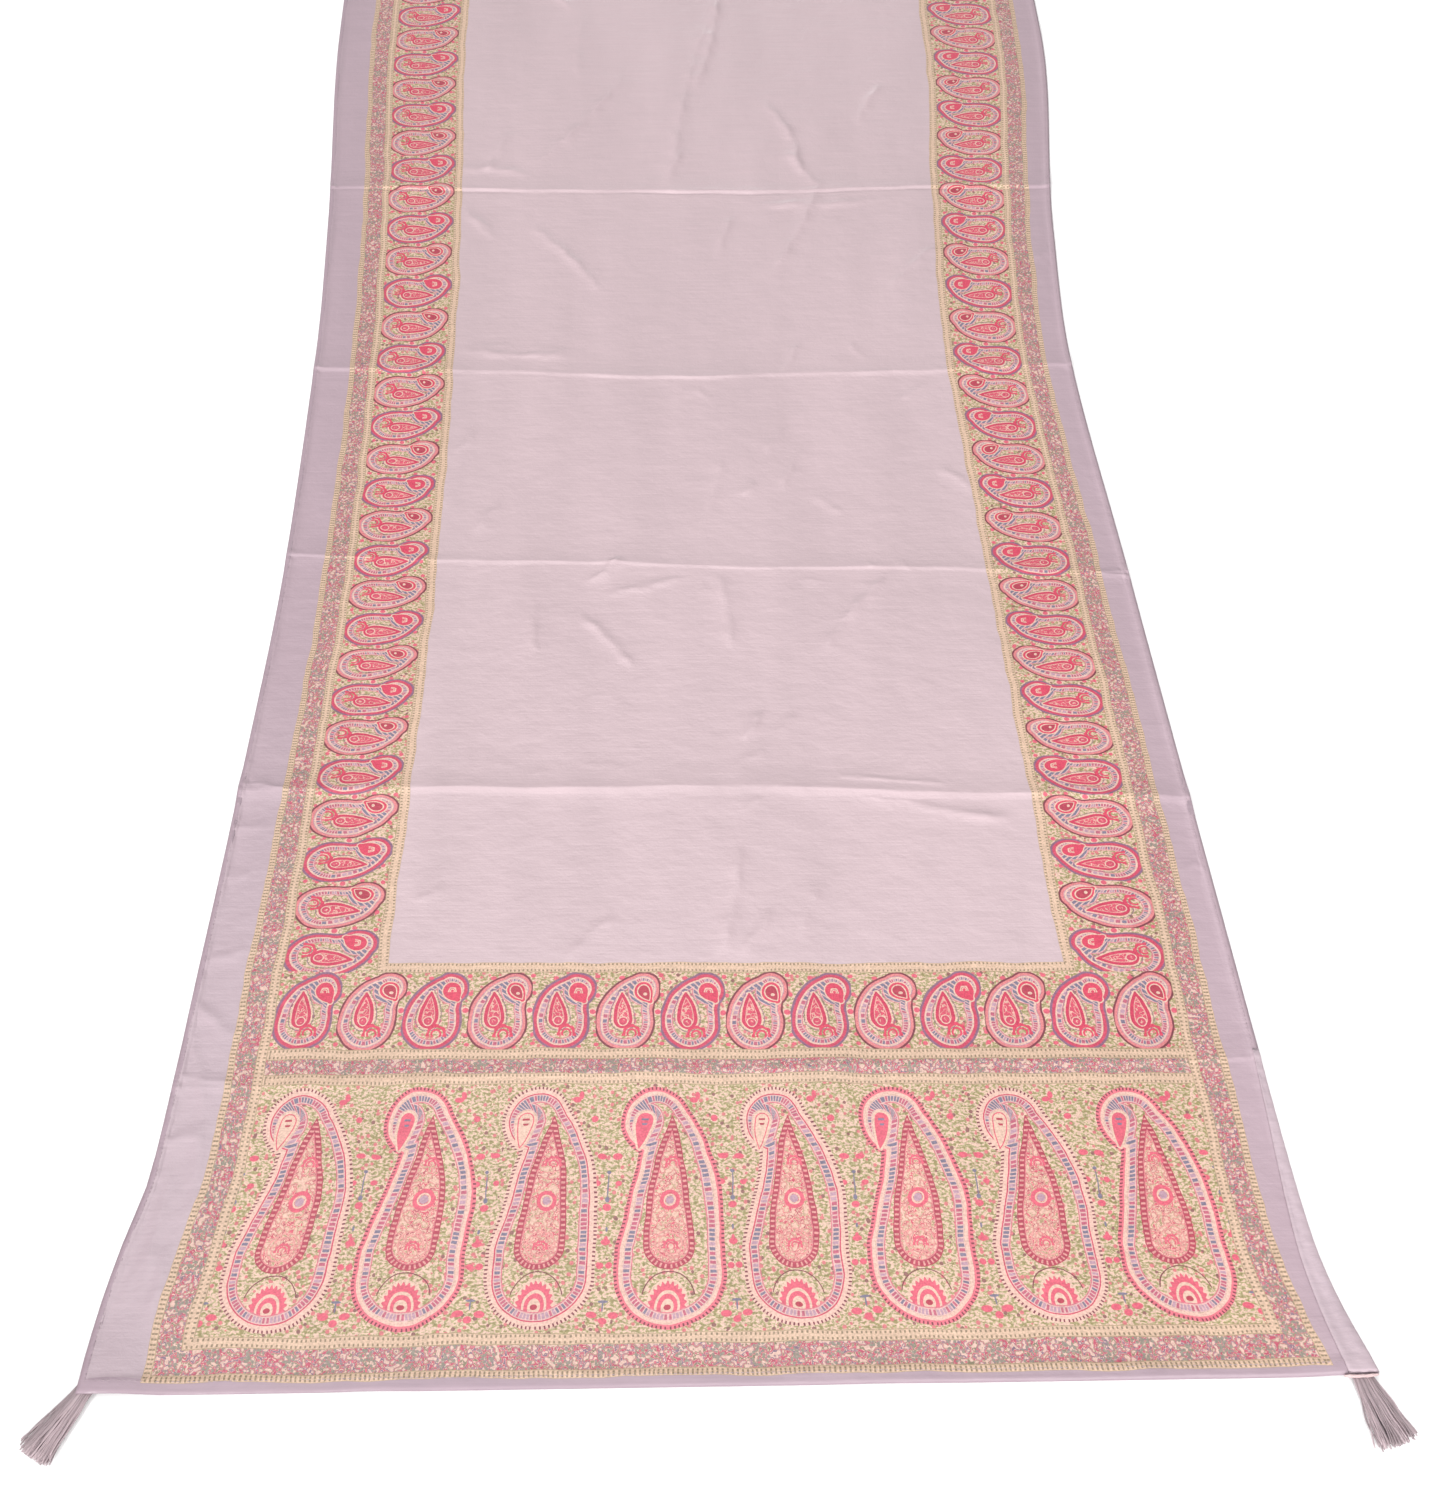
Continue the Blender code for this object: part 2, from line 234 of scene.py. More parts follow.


# %% [markdown]
# ## Small folds
# Between the creases the cloth shows short soft wrinkles where it was handled. Each one is a
# low ridge between two places of the cut, with its height and half width, all in millimetres.
# They are placed one by one, uneven in length and depth, and go on in the same way where the
# picture ends. Along the hems the stitching draws the cloth into small puckers.

# %% The wrinkles
Wrinkle = namedtuple("Wrinkle", "across along to_across to_along height half_width")
WRINKLES = [Wrinkle(*[place / 1000 for place in row[:4]], *row[4:]) for row in [
    (490, 1780, 425, 1420, 2.9, 7.6), (365, 1615, 260, 1460, 2.9, 5.5),
    (225, 1515, 195, 1445, 2.1, 5.1), (545, 1565, 580, 1495, 2.8, 5.5),
    (580, 1495, 590, 1435, 2.4, 5.1), (610, 1420, 550, 1280, 2.9, 6.0),
    (500, 1365, 480, 1305, 2.3, 5.1), (255, 1345, 335, 1250, 2.8, 5.5),
    (755, 1320, 690, 1250, 2.3, 5.1), (180, 1365, 205, 1330, 1.8, 4.7),
    (530, 1385, 690, 1395, 2.3, 5.1), (160, 1445, 240, 1440, 1.8, 4.7),
    (170, 1160, 305, 1150, 2.1, 5.1), (195, 1035, 170, 1000, 1.6, 4.7),
    (230, 930, 200, 885, 1.6, 4.7), (475, 1000, 445, 880, 1.4, 6.0),
    (550, 1040, 525, 1005, 1.8, 4.7), (510, 960, 495, 940, 1.6, 4.2),
    (565, 1005, 540, 950, 1.9, 4.7), (720, 980, 755, 950, 1.8, 5.1), (575, 940, 605, 915, 1.6, 4.7),
    (360, 850, 325, 810, 1.9, 4.7), (350, 795, 425, 820, 1.6, 4.7), (465, 825, 475, 715, 1.9, 6.0),
    (640, 820, 570, 715, 2.9, 5.1), (320, 765, 375, 690, 2.3, 4.7), (270, 790, 275, 705, 1.6, 4.7),
    (485, 590, 505, 630, 2.2, 4.2), (515, 600, 535, 625, 1.8, 3.8), (475, 465, 455, 345, 2.2, 6.0),
    (360, 385, 320, 340, 1.9, 4.7), (505, 395, 470, 345, 1.8, 4.7), (545, 415, 525, 365, 1.8, 4.7),
    (205, 415, 180, 400, 1.6, 4.2), (640, 510, 730, 495, 1.8, 4.7), (0, 535, 50, 527, 1.4, 4.7),
    (0, 482, 35, 487, 1.3, 4.2), (0, 426, 28, 430, 1.2, 4.2), (4, 185, 32, 190, 1.3, 4.2),
    (16, 115, 25, 147, 0.7, 5.0), (36, 58, 40, 95, 0.8, 5.0), (14, 60, 22, 102, 0.8, 5.0),
    (440, 2080, 465, 1840, 2.9, 6.8), (300, 2110, 370, 1960, 2.9, 5.5),
    (620, 2180, 560, 2050, 2.9, 5.5), (700, 1930, 640, 1800, 2.9, 5.1),
    (240, 1850, 300, 1760, 2.4, 5.1), (600, 1905, 640, 1800, 2.8, 5.1),
    (690, 1600, 660, 1530, 2.3, 4.7), (350, 2260, 410, 2170, 2.4, 5.1),
    (865, 830, 900, 822, 1.3, 4.2), (872, 1300, 900, 1310, 1.3, 4.2), (0, 1900, 40, 1890, 1.3, 4.7),
    (862, 2230, 880, 2290, 1.4, 4.2), (166, 570, 276, 560, 0.7, 2.6),
    (286, 559, 407, 552, 0.7, 2.4), (180, 561, 350, 551, 0.5, 2.2), (530, 541, 672, 534, 0.7, 2.4),
    (555, 552, 672, 537, 0.7, 2.4), (622, 554, 662, 575, 0.8, 3.0), (465, 554, 506, 580, 0.9, 3.6),
    (590, 518, 650, 512, 0.8, 3.0), (650, 512, 718, 493, 1.1, 3.4), (477, 504, 498, 518, 0.9, 3.4),
    (326, 812, 360, 846, 1.2, 2.8), (335, 808, 366, 842, 0.9, 2.4), (315, 816, 339, 816, 0.7, 2.4),
    (347, 795, 425, 819, 1.1, 2.8), (446, 831, 451, 797, 1.1, 3.4), (538, 816, 630, 809, 0.7, 2.4),
    (606, 769, 638, 819, 1.4, 4.4), (622, 842, 632, 833, 0.9, 3.0), (659, 843, 679, 824, 0.9, 3.0),
    (176, 1163, 306, 1157, 0.9, 2.8), (200, 1150, 300, 1158, 0.9, 2.8),
    (420, 1095, 456, 1094, 0.9, 2.8), (452, 1097, 464, 1080, 0.9, 3.0),
    (554, 1122, 575, 1170, 1.8, 4.4), (636, 1169, 652, 1147, 1.2, 3.4),
    (674, 1071, 719, 1106, 1.1, 3.4), (195, 1443, 217, 1479, 1.8, 3.8),
    (417, 1420, 439, 1479, 2.1, 4.2), (571, 1479, 607, 1420, 2.1, 4.4),
    (541, 1377, 642, 1400, 1.2, 3.0), (168, 1378, 200, 1333, 1.4, 3.6),
    (161, 1452, 255, 1433, 0.9, 2.8), (460, 1603, 490, 1789, 2.9, 6.0),
    (311, 1603, 317, 1777, 1.8, 9.0), (4, 300, 46, 268, 1.7, 4.6), (0, 236, 50, 228, 1.3, 4.2),
    (30, 205, 46, 118, 1.6, 4.6), (10, 262, 30, 205, 1.3, 4.2), (0, 338, 40, 352, 1.2, 4.2),
    (868, 560, 900, 566, 0.8, 4.0), (862, 420, 896, 452, 0.9, 4.0), (12, 165, 26, 60, 1.6, 4.6),
    (34, 110, 46, 30, 1.3, 4.2), (180, 2010, 300, 2002, 0.9, 2.6), (560, 1972, 700, 1982, 0.9, 2.6),
    (380, 2010, 402, 2050, 1.6, 3.4),
]]

# The crest of each crease: how far its near and its far slope reach, its height, and the
# depth of the small valley before it.
Crest = namedtuple("Crest", "near far height valley")
CRESTS = [Crest(*row) for row in [
    (0.0040, 0.012, 0.0007, 0.0000), (0.0085, 0.015, 0.0019, 0.0000),
    (0.0038, 0.010, 0.0011, 0.0000), (0.0045, 0.010, 0.0013, 0.0001),
    (0.0034, 0.008, 0.0011, 0.0008), (0.0040, 0.010, 0.0002, 0.0000),
    (0.0040, 0.010, 0.0011, 0.0000),
]]
# The share of a crease's height that its slopes have here
SLOPE_SHARE = 0.27
# A wrinkle's bow as a share of its length, and the powers that shape its ridge and the near
# slope of a crest
WRINKLE_BOW = 0.03
WRINKLE_POWER = 1.2
NEAR_POWER = 1.2
PUCKER_HEIGHT = 0.00022
PUCKER_SPACING = 0.0125
SWELL_HEIGHT = 0.0009
HEM_STRIP = 0.0008
# How far in from the edges the broad waves fade out
FLAT_EDGE = 0.040


def fade(value):
    """A smooth step from 0 to 1 as the value goes from 0 to 1."""
    value = np.clip(value, 0.0, 1.0)
    return value * value * (3.0 - 2.0 * value)


def waves(at, *terms):
    """A sum of sines, to make a form uneven: each has its height, its frequency and its phase."""
    return sum(height * np.sin(frequency * at + phase) for height, frequency, phase in terms)


def wrinkle_height(across, cut):
    """The low ridges of all the wrinkles together, bowed a little to one side and the other."""
    height = np.zeros_like(across)
    for number, w in enumerate(WRINKLES):
        run = np.array([w.to_across - w.across, w.to_along - w.along])
        length = np.hypot(*run)
        part = ((across - w.across) * run[0] + (cut - w.along) * run[1]) / length ** 2
        bow = (-1) ** number * WRINKLE_BOW * length * np.sin(np.pi * np.clip(part, 0.0, 1.0))
        bow += waves(part, (0.0010, 210.0 * length, 2.0 * number))
        aside = ((across - w.across) * run[1] - (cut - w.along) * run[0]) / length - bow
        ends = fade((part + 0.12) / 0.35) * fade((1.12 - part) / 0.35)
        ends *= 0.85 + waves(part, (0.25, 90.0 * length, 3.0 * number))
        height += 0.001 * w.height * ends * np.exp(
            -np.abs(1000.0 * aside / w.half_width) ** WRINKLE_POWER)
    return height


def crest_height(across, along, crease, crest):
    """The crest of one crease: a straight near slope, a long far one, and a valley before it."""
    seed = crease.cloth
    wander = waves(across, (0.0017, 19.0, 9.0 * seed), (0.0006, 71.0, 31.0 * seed))
    uneven = 0.78 + waves(across, (0.20, 19.0, 17.0 * seed), (0.14, 57.0, 29.0 * seed))
    wide = 1.0 + waves(across, (0.22, 13.0, 50.0 * seed))
    away = along - crease.cloth - wander
    near = np.clip(1.0 + away / (crest.near * wide), 0.0, 1.0) ** NEAR_POWER
    ridge = np.where(away < 0.0, near, np.exp(-np.abs(away) / crest.far))
    valley = np.exp(-((away + 1.3 * crest.near) / (0.5 * crest.near)) ** 2)
    return uneven * (crest.height * ridge - crest.valley * valley)


def swell_height(across, cut):
    """Very low broad waves, as cloth never lies quite flat."""
    swell = np.sin(9.0 * across + 5.0 * cut) + np.sin(14.0 * across - 11.0 * cut + 1.7)
    swell += np.sin(23.0 * cut + 4.0 * across + 0.6)
    return SWELL_HEIGHT * (swell + 3.0) / 6.0


def underside(across, along):
    """How high the shell's underside stands over the floor, at a place of the creases' grid."""
    cut = along + crease_drift(across, along)
    height = FLOOR_CLEAR + wrinkle_height(across, cut)
    for crease, crest in zip(CREASES, CRESTS):
        away = (along - crease.cloth) / crease.reach
        uneven = SLOPE_SHARE + waves(across, (0.07, 31.0, 40.0 * crease.cloth))
        power = np.where(away < 0.0, 2.0, 1.5)
        height += crease.height * uneven * np.clip(1.0 - np.abs(away), 0.0, 1.0) ** power
        height += crest_height(across, along, crease, crest)
    for lift in LIFTS:
        away = np.hypot((across - lift.across) / lift.reach_across,
                        (along - lift.along) / lift.reach_along)
        height += lift.height * np.cos(0.5 * np.pi * np.clip(away, 0.0, 1.0)) ** 2
    from_side = np.minimum(across, CUT_WIDTH - across)
    from_end = np.minimum(along, CUT_LENGTH - along)
    inside = fade(np.minimum(from_side, from_end) / FLAT_EDGE)
    height += swell_height(across, cut) * inside
    hem = np.maximum(fade(1.0 - (from_side - SIDE_HEM) / 0.003),
                     fade(1.0 - (from_end - END_HEM) / 0.003))
    near_hem = np.maximum(np.exp(-((from_side - SIDE_HEM) / 0.006) ** 2),
                          np.exp(-((from_end - END_HEM) / 0.009) ** 2))
    round_hem = across + cut
    pucker = np.sin(2.0 * np.pi / PUCKER_SPACING * round_hem + 2.2 * np.sin(17.0 * round_hem))
    return height + HEM_STRIP * hem + PUCKER_HEIGHT * near_hem * (1.0 + pucker)


def lay(across, along, raised=0.0):
    """Places in the room, for places of the cut, raised above the shell's underside."""
    across, along = np.broadcast_arrays(np.asarray(across, float), np.asarray(along, float))
    cut = along + crease_drift(across, along)
    side = 2.0 * across / CUT_WIDTH - 1.0
    half = np.where(side < 0.0, read_table(LIES, "cloth", "left", cut),
                    read_table(LIES, "cloth", "right", cut))
    y = read_table(LIES, "cloth", "floor", cut) - side * read_table(LIES, "cloth", "slant", cut)
    return np.stack([side * half, y - 0.5 * LIES[-1].floor,
                     underside(across, along) + raised], axis=-1)


print("wrinkles", len(WRINKLES), "creases", len(CREASES))

# %% [markdown]
# ## The cloth
# The shell starts as one flat grid of the whole cut, with its rows close together at every
# crease. Faces on a wrinkle are cut finer, so that sharp folds have points to show them and
# flat places stay light. Then every point is laid by the tables. Its map keeps the place on
# the flat cut in metres, so the print follows the cloth, and a Solidify modifier gives the
# thickness.

# %% Stations of the grid
EDGE_LINES = [0.0, 0.0025, 0.005, 0.0065, 0.008, 0.012, 0.019, 0.029]
END_LINES = [0.0, 0.003, 0.0065, 0.010, 0.0115, 0.0135, 0.019, 0.029]
CREST_LINES = 0.001 * np.array([-14.0, -10.0, -7.4, -5.6, -4.2, -3.2, -2.2, -1.4, -0.7, 0.0, 0.8,
                                1.8, 3.2, 5.6, 9.0, 14.0])
# A crest lower than this is as smooth as the cloth round it, and gets no lines of its own
LOW_CREST = 0.0005
CELL = 0.0125


def stations(edge_lines, length, crests):
    """Lines over a length: given ones at both edges and at every crest, and even ones between."""
    edge = np.array(edge_lines)
    count = int(round((length - 2.0 * edge[-1]) / CELL))
    inner = np.linspace(edge[-1], length - edge[-1], count + 1)[1:-1]
    for crest in crests:
        inner = inner[np.abs(inner - crest) > CREST_LINES[-1] + 0.4 * CELL]
    near_crests = [crest + CREST_LINES for crest in crests]
    return np.sort(np.concatenate([edge, inner, length - edge[::-1], *near_crests]))


columns_across = stations(EDGE_LINES, CUT_WIDTH, [])
sharp = [crease.cloth for crease, crest in zip(CREASES, CRESTS) if crest.height > LOW_CREST]
rows_along = stations(END_LINES, CUT_LENGTH, sharp)
print("grid", len(columns_across), "by", len(rows_along))

# %% Pieces of soft sheet


def flat_sheet(name, across, along, up):
    """A grid primitive with its points moved to places of the flat cut, and up from it."""
    rows, columns = across.shape
    bpy.ops.object.select_all(action="DESELECT")
    bpy.ops.mesh.primitive_grid_add(x_subdivisions=columns - 1, y_subdivisions=rows - 1, size=2)
    piece = bpy.context.object
    piece.name = name
    flat = np.array([point.co for point in piece.data.vertices])
    column = np.rint(0.5 * (flat[:, 0] + 1.0) * (columns - 1)).astype(int)
    row = np.rint(0.5 * (flat[:, 1] + 1.0) * (rows - 1)).astype(int)
    flat = np.stack([across, along, up], axis=-1)[row, column]
    piece.data.vertices.foreach_set("co", flat.ravel())
    return piece


def lay_sheet(piece):
    """Lay a flat sheet on the floor, with its map giving each point's place on the cut."""
    mesh = piece.data
    across, along, up = np.array([point.co for point in mesh.vertices]).T
    corners = np.zeros(len(mesh.loops), int)
    mesh.loops.foreach_get("vertex_index", corners)
    mesh.uv_layers[0].name = "cut"
    on_cut = np.stack([across, along + crease_drift(across, along)], axis=-1)[corners]
    mesh.uv_layers["cut"].data.foreach_set("uv", on_cut.ravel())
    mesh.vertices.foreach_set("co", lay(across, along, up).ravel())
    mesh.shade_smooth()
    mesh.update()


def apply(piece, kind, **settings):
    """One modifier, set and applied."""
    bpy.ops.object.select_all(action="DESELECT")
    piece.select_set(True)
    bpy.context.view_layer.objects.active = piece
    modifier = piece.modifiers.new(kind.lower(), kind)
    for setting, value in settings.items():
        setattr(modifier, setting, value)
    bpy.ops.object.modifier_apply(modifier=modifier.name)


def cut_finer(piece, kind, wanted, cuts):
    """Cut the wanted faces or edges of the active piece finer."""
    bpy.ops.object.mode_set(mode="EDIT")
    bpy.ops.mesh.select_mode(type=kind)
    bpy.ops.mesh.select_all(action="DESELECT")
    bpy.ops.object.mode_set(mode="OBJECT")
    parts = piece.data.polygons if kind == "FACE" else piece.data.edges
    for part, chosen in zip(parts, wanted):
        part.select = bool(chosen)
    bpy.ops.object.mode_set(mode="EDIT")
    bpy.ops.mesh.subdivide(number_cuts=cuts)
    bpy.ops.object.mode_set(mode="OBJECT")


def face_outward():
    """Turn the faces of the active piece outward."""
    bpy.ops.object.mode_set(mode="EDIT")
    bpy.ops.mesh.select_all(action="SELECT")
    bpy.ops.mesh.normals_make_consistent(inside=False)
    bpy.ops.object.mode_set(mode="OBJECT")


def triangles(piece):
    return sum(len(face.vertices) - 2 for face in piece.data.polygons)


# %% The shell of the whole stole
# A face is cut finer where a wrinkle within this reach of its middle is more than this high
FOLD_REACH = 0.006
FOLD_HEIGHT = 0.00045
FINER_CUTS = 3

across, along = np.meshgrid(columns_across, rows_along)
cloth = flat_sheet("stole_cloth", across, along, 0.0 * across)
across, along, _ = np.array([face.center for face in cloth.data.polygons]).T
cut = along + crease_drift(across, along)
folds = np.zeros_like(across)
for step in (-FOLD_REACH, 0.0, FOLD_REACH):
    here = np.maximum(wrinkle_height(across, cut + step), wrinkle_height(across + step, cut))
    folds = np.maximum(folds, here)
print("faces on folds", int((folds > FOLD_HEIGHT).sum()), "of", len(folds))
cut_finer(cloth, "FACE", folds > FOLD_HEIGHT, FINER_CUTS)
lay_sheet(cloth)
apply(cloth, "SOLIDIFY", thickness=CLOTH_THICKNESS, offset=1.0, material_offset=1)
print("cloth", triangles(cloth), "triangles")
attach(cloth, "root")
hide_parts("cloth")

# %% [markdown]
# ## Hems
# At each edge the cloth is turned under twice and stitched. From above this shows as a
# slightly thicker edge with a line of stitches, and from below as a flat strip. Each strip is
# a closed bar with a rounded outer edge, made from a cylinder that is cut into lengths and
# whose rings are then moved to their places.

# %% A bar through rings of points


def bar(name, rings):
    """A closed bar: a primitive cylinder, cut into lengths, with its rings moved into place."""
    count, points = rings.shape[:2]
    bpy.ops.object.select_all(action="DESELECT")
    bpy.ops.mesh.primitive_cylinder_add(vertices=points, radius=1.0, depth=2.0)
    piece = bpy.context.object
    piece.name = name
    mesh = piece.data
    ends = np.array([[mesh.vertices[i].co.z for i in edge.vertices] for edge in mesh.edges])
    cut_finer(piece, "EDGE", np.abs(ends[:, 0] - ends[:, 1]) > 1.0, count - 2)
    flat = np.array([point.co for point in mesh.vertices])
    ring = np.rint(0.5 * (flat[:, 2] + 1.0) * (count - 1)).astype(int)
    turn = np.arctan2(flat[:, 1], flat[:, 0]) / (2.0 * np.pi)
    place = np.rint(turn * points).astype(int) % points
    mesh.vertices.foreach_set("co", rings[ring, place].ravel())
    mesh.shade_smooth()
    mesh.update()
    return piece


# %% The four hem strips
# How far the strip's rounded outer edge stands out past the cloth
NOSE = 0.0004
END_STATIONS, SIDE_STATIONS = 161, 361
# Round the strip's section, from its top at the inner edge: how far in from the cloth's edge,
# as a share of the hem's width, and how high, as a share of the strip's thickness
SECTION_IN = np.array([1.00, 0.60, 0.20, 0.04, 0.00, 0.00, 0.04, 0.20, 0.60, 1.00, 1.03, 1.03])
SECTION_UP = np.array([0.98, 0.98, 0.98, 1.20, 1.20, 0.60, 0.15, 0.05, 0.05, 0.08, 0.30, 0.75])


def hem_strip(name, width, edge):
    """edge gives, for a distance in from the edge, the places across and along the cut."""
    across, along = edge(width * SECTION_IN[None, :])
    rings = lay(across, along)
    outward = rings[:, 4:5, :2] - rings[:, 1:2, :2]
    outward /= np.linalg.norm(outward, axis=-1, keepdims=True)
    nose = np.where(SECTION_IN == 0.0, NOSE, 0.0)[None, :, None]
    rings[..., :2] += outward * nose
    rings[..., 2] += HEM_STRIP * (SECTION_UP[None, :] - 1.0)
    return bar(name, rings)


end_line = np.linspace(0.0, CUT_WIDTH, END_STATIONS)[:, None]
side_line = np.linspace(0.0, CUT_LENGTH, SIDE_STATIONS)[:, None]
HEMS = [
    ("hem_near", END_HEM, lambda d: (end_line + 0.0 * d, 0.0 * end_line + d)),
    ("hem_far", END_HEM, lambda d: (end_line + 0.0 * d, CUT_LENGTH - d + 0.0 * end_line)),
    ("hem_left", SIDE_HEM, lambda d: (0.0 * side_line + d, side_line + 0.0 * d)),
    ("hem_right", SIDE_HEM, lambda d: (CUT_WIDTH - d + 0.0 * side_line, side_line + 0.0 * d)),
]
hems = []
for name, width, edge in HEMS:
    strip = hem_strip("strip_" + name, width, edge)
    face_outward()
    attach(strip, "root")
    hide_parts(name)
    hems.append(strip)
print("hems", [triangles(strip) for strip in hems])

# %% [markdown]
# ## Stitches
# The hems are held by a lockstitch in thread of the cloth's own colour. One stitch is a
# long bead, modelled once and copied along the four seam lines, on the face and underneath.

# %% One stitch, and its copies
STITCH_PITCH = 0.0036
STITCH_LENGTH = 0.0025
STITCH_RADIUS = 0.00028
# Where the seams run, in from the edge, and how high a stitch stands over the cloth
END_SEAM = END_HEM - 0.0012
SIDE_SEAM = SIDE_HEM - 0.0010
STITCH_CLEAR = 0.00005


def copies(name, model, places):
    """One joined mesh of a model's copies, given the places of its points in each copy."""
    faces = [tuple(face.vertices) for face in model.data.polygons]
    count, points = places.shape[:2]
    joined = [tuple(i + points * copy for i in face) for copy in range(count) for face in faces]
    mesh = bpy.data.meshes.new(name)
    mesh.from_pydata(places.reshape(-1, 3).tolist(), [], joined)
    mesh.shade_smooth()
    mesh.update()
    piece = bpy.data.objects.new(name, mesh)
    bpy.context.scene.collection.objects.link(piece)
    return piece


bpy.ops.object.select_all(action="DESELECT")
bpy.ops.mesh.primitive_uv_sphere_add(segments=6, ring_count=5, radius=1.0)
stitch = bpy.context.object
stitch_points = np.array([point.co for point in stitch.data.vertices])
stitch_points = stitch_points[:, [2, 0, 1]]

seam_end = np.arange(END_HEM, CUT_WIDTH - END_HEM, STITCH_PITCH)
seam_side = np.arange(END_HEM, CUT_LENGTH - END_HEM, STITCH_PITCH)
SEAMS = [
    (seam_end, 0.0 * seam_end + END_SEAM, (1.0, 0.0)),
    (seam_end, 0.0 * seam_end + CUT_LENGTH - END_SEAM, (1.0, 0.0)),
    (0.0 * seam_side + SIDE_SEAM, seam_side, (0.0, 1.0)),
    (0.0 * seam_side + CUT_WIDTH - SIDE_SEAM, seam_side, (0.0, 1.0)),
]


def run_stitches(across, along, step, raised, high):
    """Copies of the stitch along one seam, each turned with the cloth under it."""
    centre = lay(across, along, raised)
    ahead = lay(across + 0.001 * step[0], along + 0.001 * step[1], raised) - centre
    ahead /= np.linalg.norm(ahead, axis=-1, keepdims=True)
    up = np.array([0.0, 0.0, 1.0])
    aside = np.cross(up, ahead)
    aside /= np.linalg.norm(aside, axis=-1, keepdims=True)
    up = np.cross(ahead, aside)
    size = stitch_points * [0.5 * STITCH_LENGTH, STITCH_RADIUS, high]
    return (centre[:, None] + size[None, :, :1] * ahead[:, None]
            + size[None, :, 1:2] * aside[:, None] + size[None, :, 2:] * up[:, None])


above = [run_stitches(*seam, CLOTH_THICKNESS + STITCH_CLEAR, STITCH_RADIUS) for seam in SEAMS]
below = [run_stitches(*seam, -0.95 * HEM_STRIP, 0.4 * STITCH_RADIUS) for seam in SEAMS]
stitches = copies("hem_stitches", stitch, np.concatenate(above + below))
bpy.data.objects.remove(stitch, do_unlink=True)
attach(stitches, "root")
print("stitches", triangles(stitches), "triangles")

# %% [markdown]
# ## The folded corner
# At the near right corner the margin is folded in over the cloth, widest at the end hem, so
# its underside shows. Its turned end stands up as a short lip over the tassel. The fold is a
# narrow sheet whose outer edge rolls down to the cloth's edge. The lip is a soft flat roll.

# %% The side fold
FOLD_LENGTH = 0.250
FOLD_WIDTH = 0.020
FOLD_NARROWING = 1.3
FOLD_RISE = 0.0011
FOLD_THICKNESS = 0.0003
FOLD_LINES = 90
# Across the fold from the cloth's edge: the share of its width, and of its rise
FOLD_STEPS = np.array([0.00, -0.04, -0.03, 0.03, 0.12, 0.30, 0.50, 0.70, 0.78, 0.86, 0.94, 1.00])
FOLD_UP = np.array([-0.20, 0.10, 0.60, 0.95, 1.15, 1.20, 1.05, 0.85, 1.00, 1.05, 0.95, 0.55])

fold_along = np.linspace(0.0005, FOLD_LENGTH, FOLD_LINES)
fold_part = 1.0 - fold_along / FOLD_LENGTH
fold_wide = SIDE_HEM + (FOLD_WIDTH - SIDE_HEM) * fold_part ** FOLD_NARROWING
fold_in = fold_wide[:, None] * FOLD_STEPS[None, :]
fold_rows = np.broadcast_to(fold_along[:, None], fold_in.shape)
rise = np.interp(fold_along, [0.0, 0.8 * FOLD_LENGTH, FOLD_LENGTH], [1.0, 0.8, 0.2])[:, None]
fold_up = CLOTH_THICKNESS + FOLD_RISE * rise * FOLD_UP[None, :]
side_fold = flat_sheet("fold_of_margin", CUT_WIDTH - fold_in, fold_rows, fold_up)
lay_sheet(side_fold)
face_outward()
apply(side_fold, "SOLIDIFY", thickness=FOLD_THICKNESS, offset=0.0)
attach(side_fold, "root")
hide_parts("side_fold_near_right")
print("side fold", triangles(side_fold), "triangles")

# %% The corner lip
LIP_LENGTH = 0.024
LIP_HALF_DEPTH = 0.0011
LIP_HALF_HEIGHT = 0.0018
# The roll's middle: how high it is, how far out of the cloth's edge, and how far it bows there
LIP_MIDDLE = 0.0014
LIP_OUT = 0.0012
LIP_BOW = 0.0008
LIP_PINCH = 0.45
LIP_LENGTHS, LIP_SIDES = 33, 20

run = np.linspace(-0.5, 0.5, LIP_LENGTHS)[:, None] * LIP_LENGTH
part = np.abs(2.0 * run / LIP_LENGTH)
pinch = 1.0 - LIP_PINCH * np.clip(1.0 - part / 0.5, 0.0, 1.0) ** 2
close = np.sqrt(np.clip(1.0 - part ** 6, 0.02, 1.0))
turn = 2.0 * np.pi * np.arange(LIP_SIDES)[None, :] / LIP_SIDES
middle = lay(CUT_WIDTH - 0.5 * LIP_LENGTH + run, 0.0 * run)
lumps = 1.0 + 0.10 * np.sin(900.0 * run + 3.0 * turn) + 0.06 * np.sin(2100.0 * run)
out = LIP_OUT + LIP_BOW * (1.0 - part ** 2)
lip_rings = np.stack([
    middle[..., 0] + 0.0 * turn,
    middle[..., 1] - out + LIP_HALF_DEPTH * close * lumps * np.cos(turn),
    middle[..., 2] + LIP_MIDDLE + LIP_HALF_HEIGHT * pinch * close * lumps * np.sin(turn)], axis=-1)
lip = bar("lip_of_corner", lip_rings)
face_outward()
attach(lip, "root")
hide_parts("corner_lip_near_right")
print("lip", triangles(lip), "triangles")

# %% [markdown]
# ## Tassels
# A tassel is a bundle of twisted threads caught in the corner and cut off straight. One
# thread is modelled once, as a bar whose section is two plies turned round each other, and
# every thread of a tassel is a bent copy of it. The threads fan out from the corner, sag to
# the floor, and end slightly unevenly.

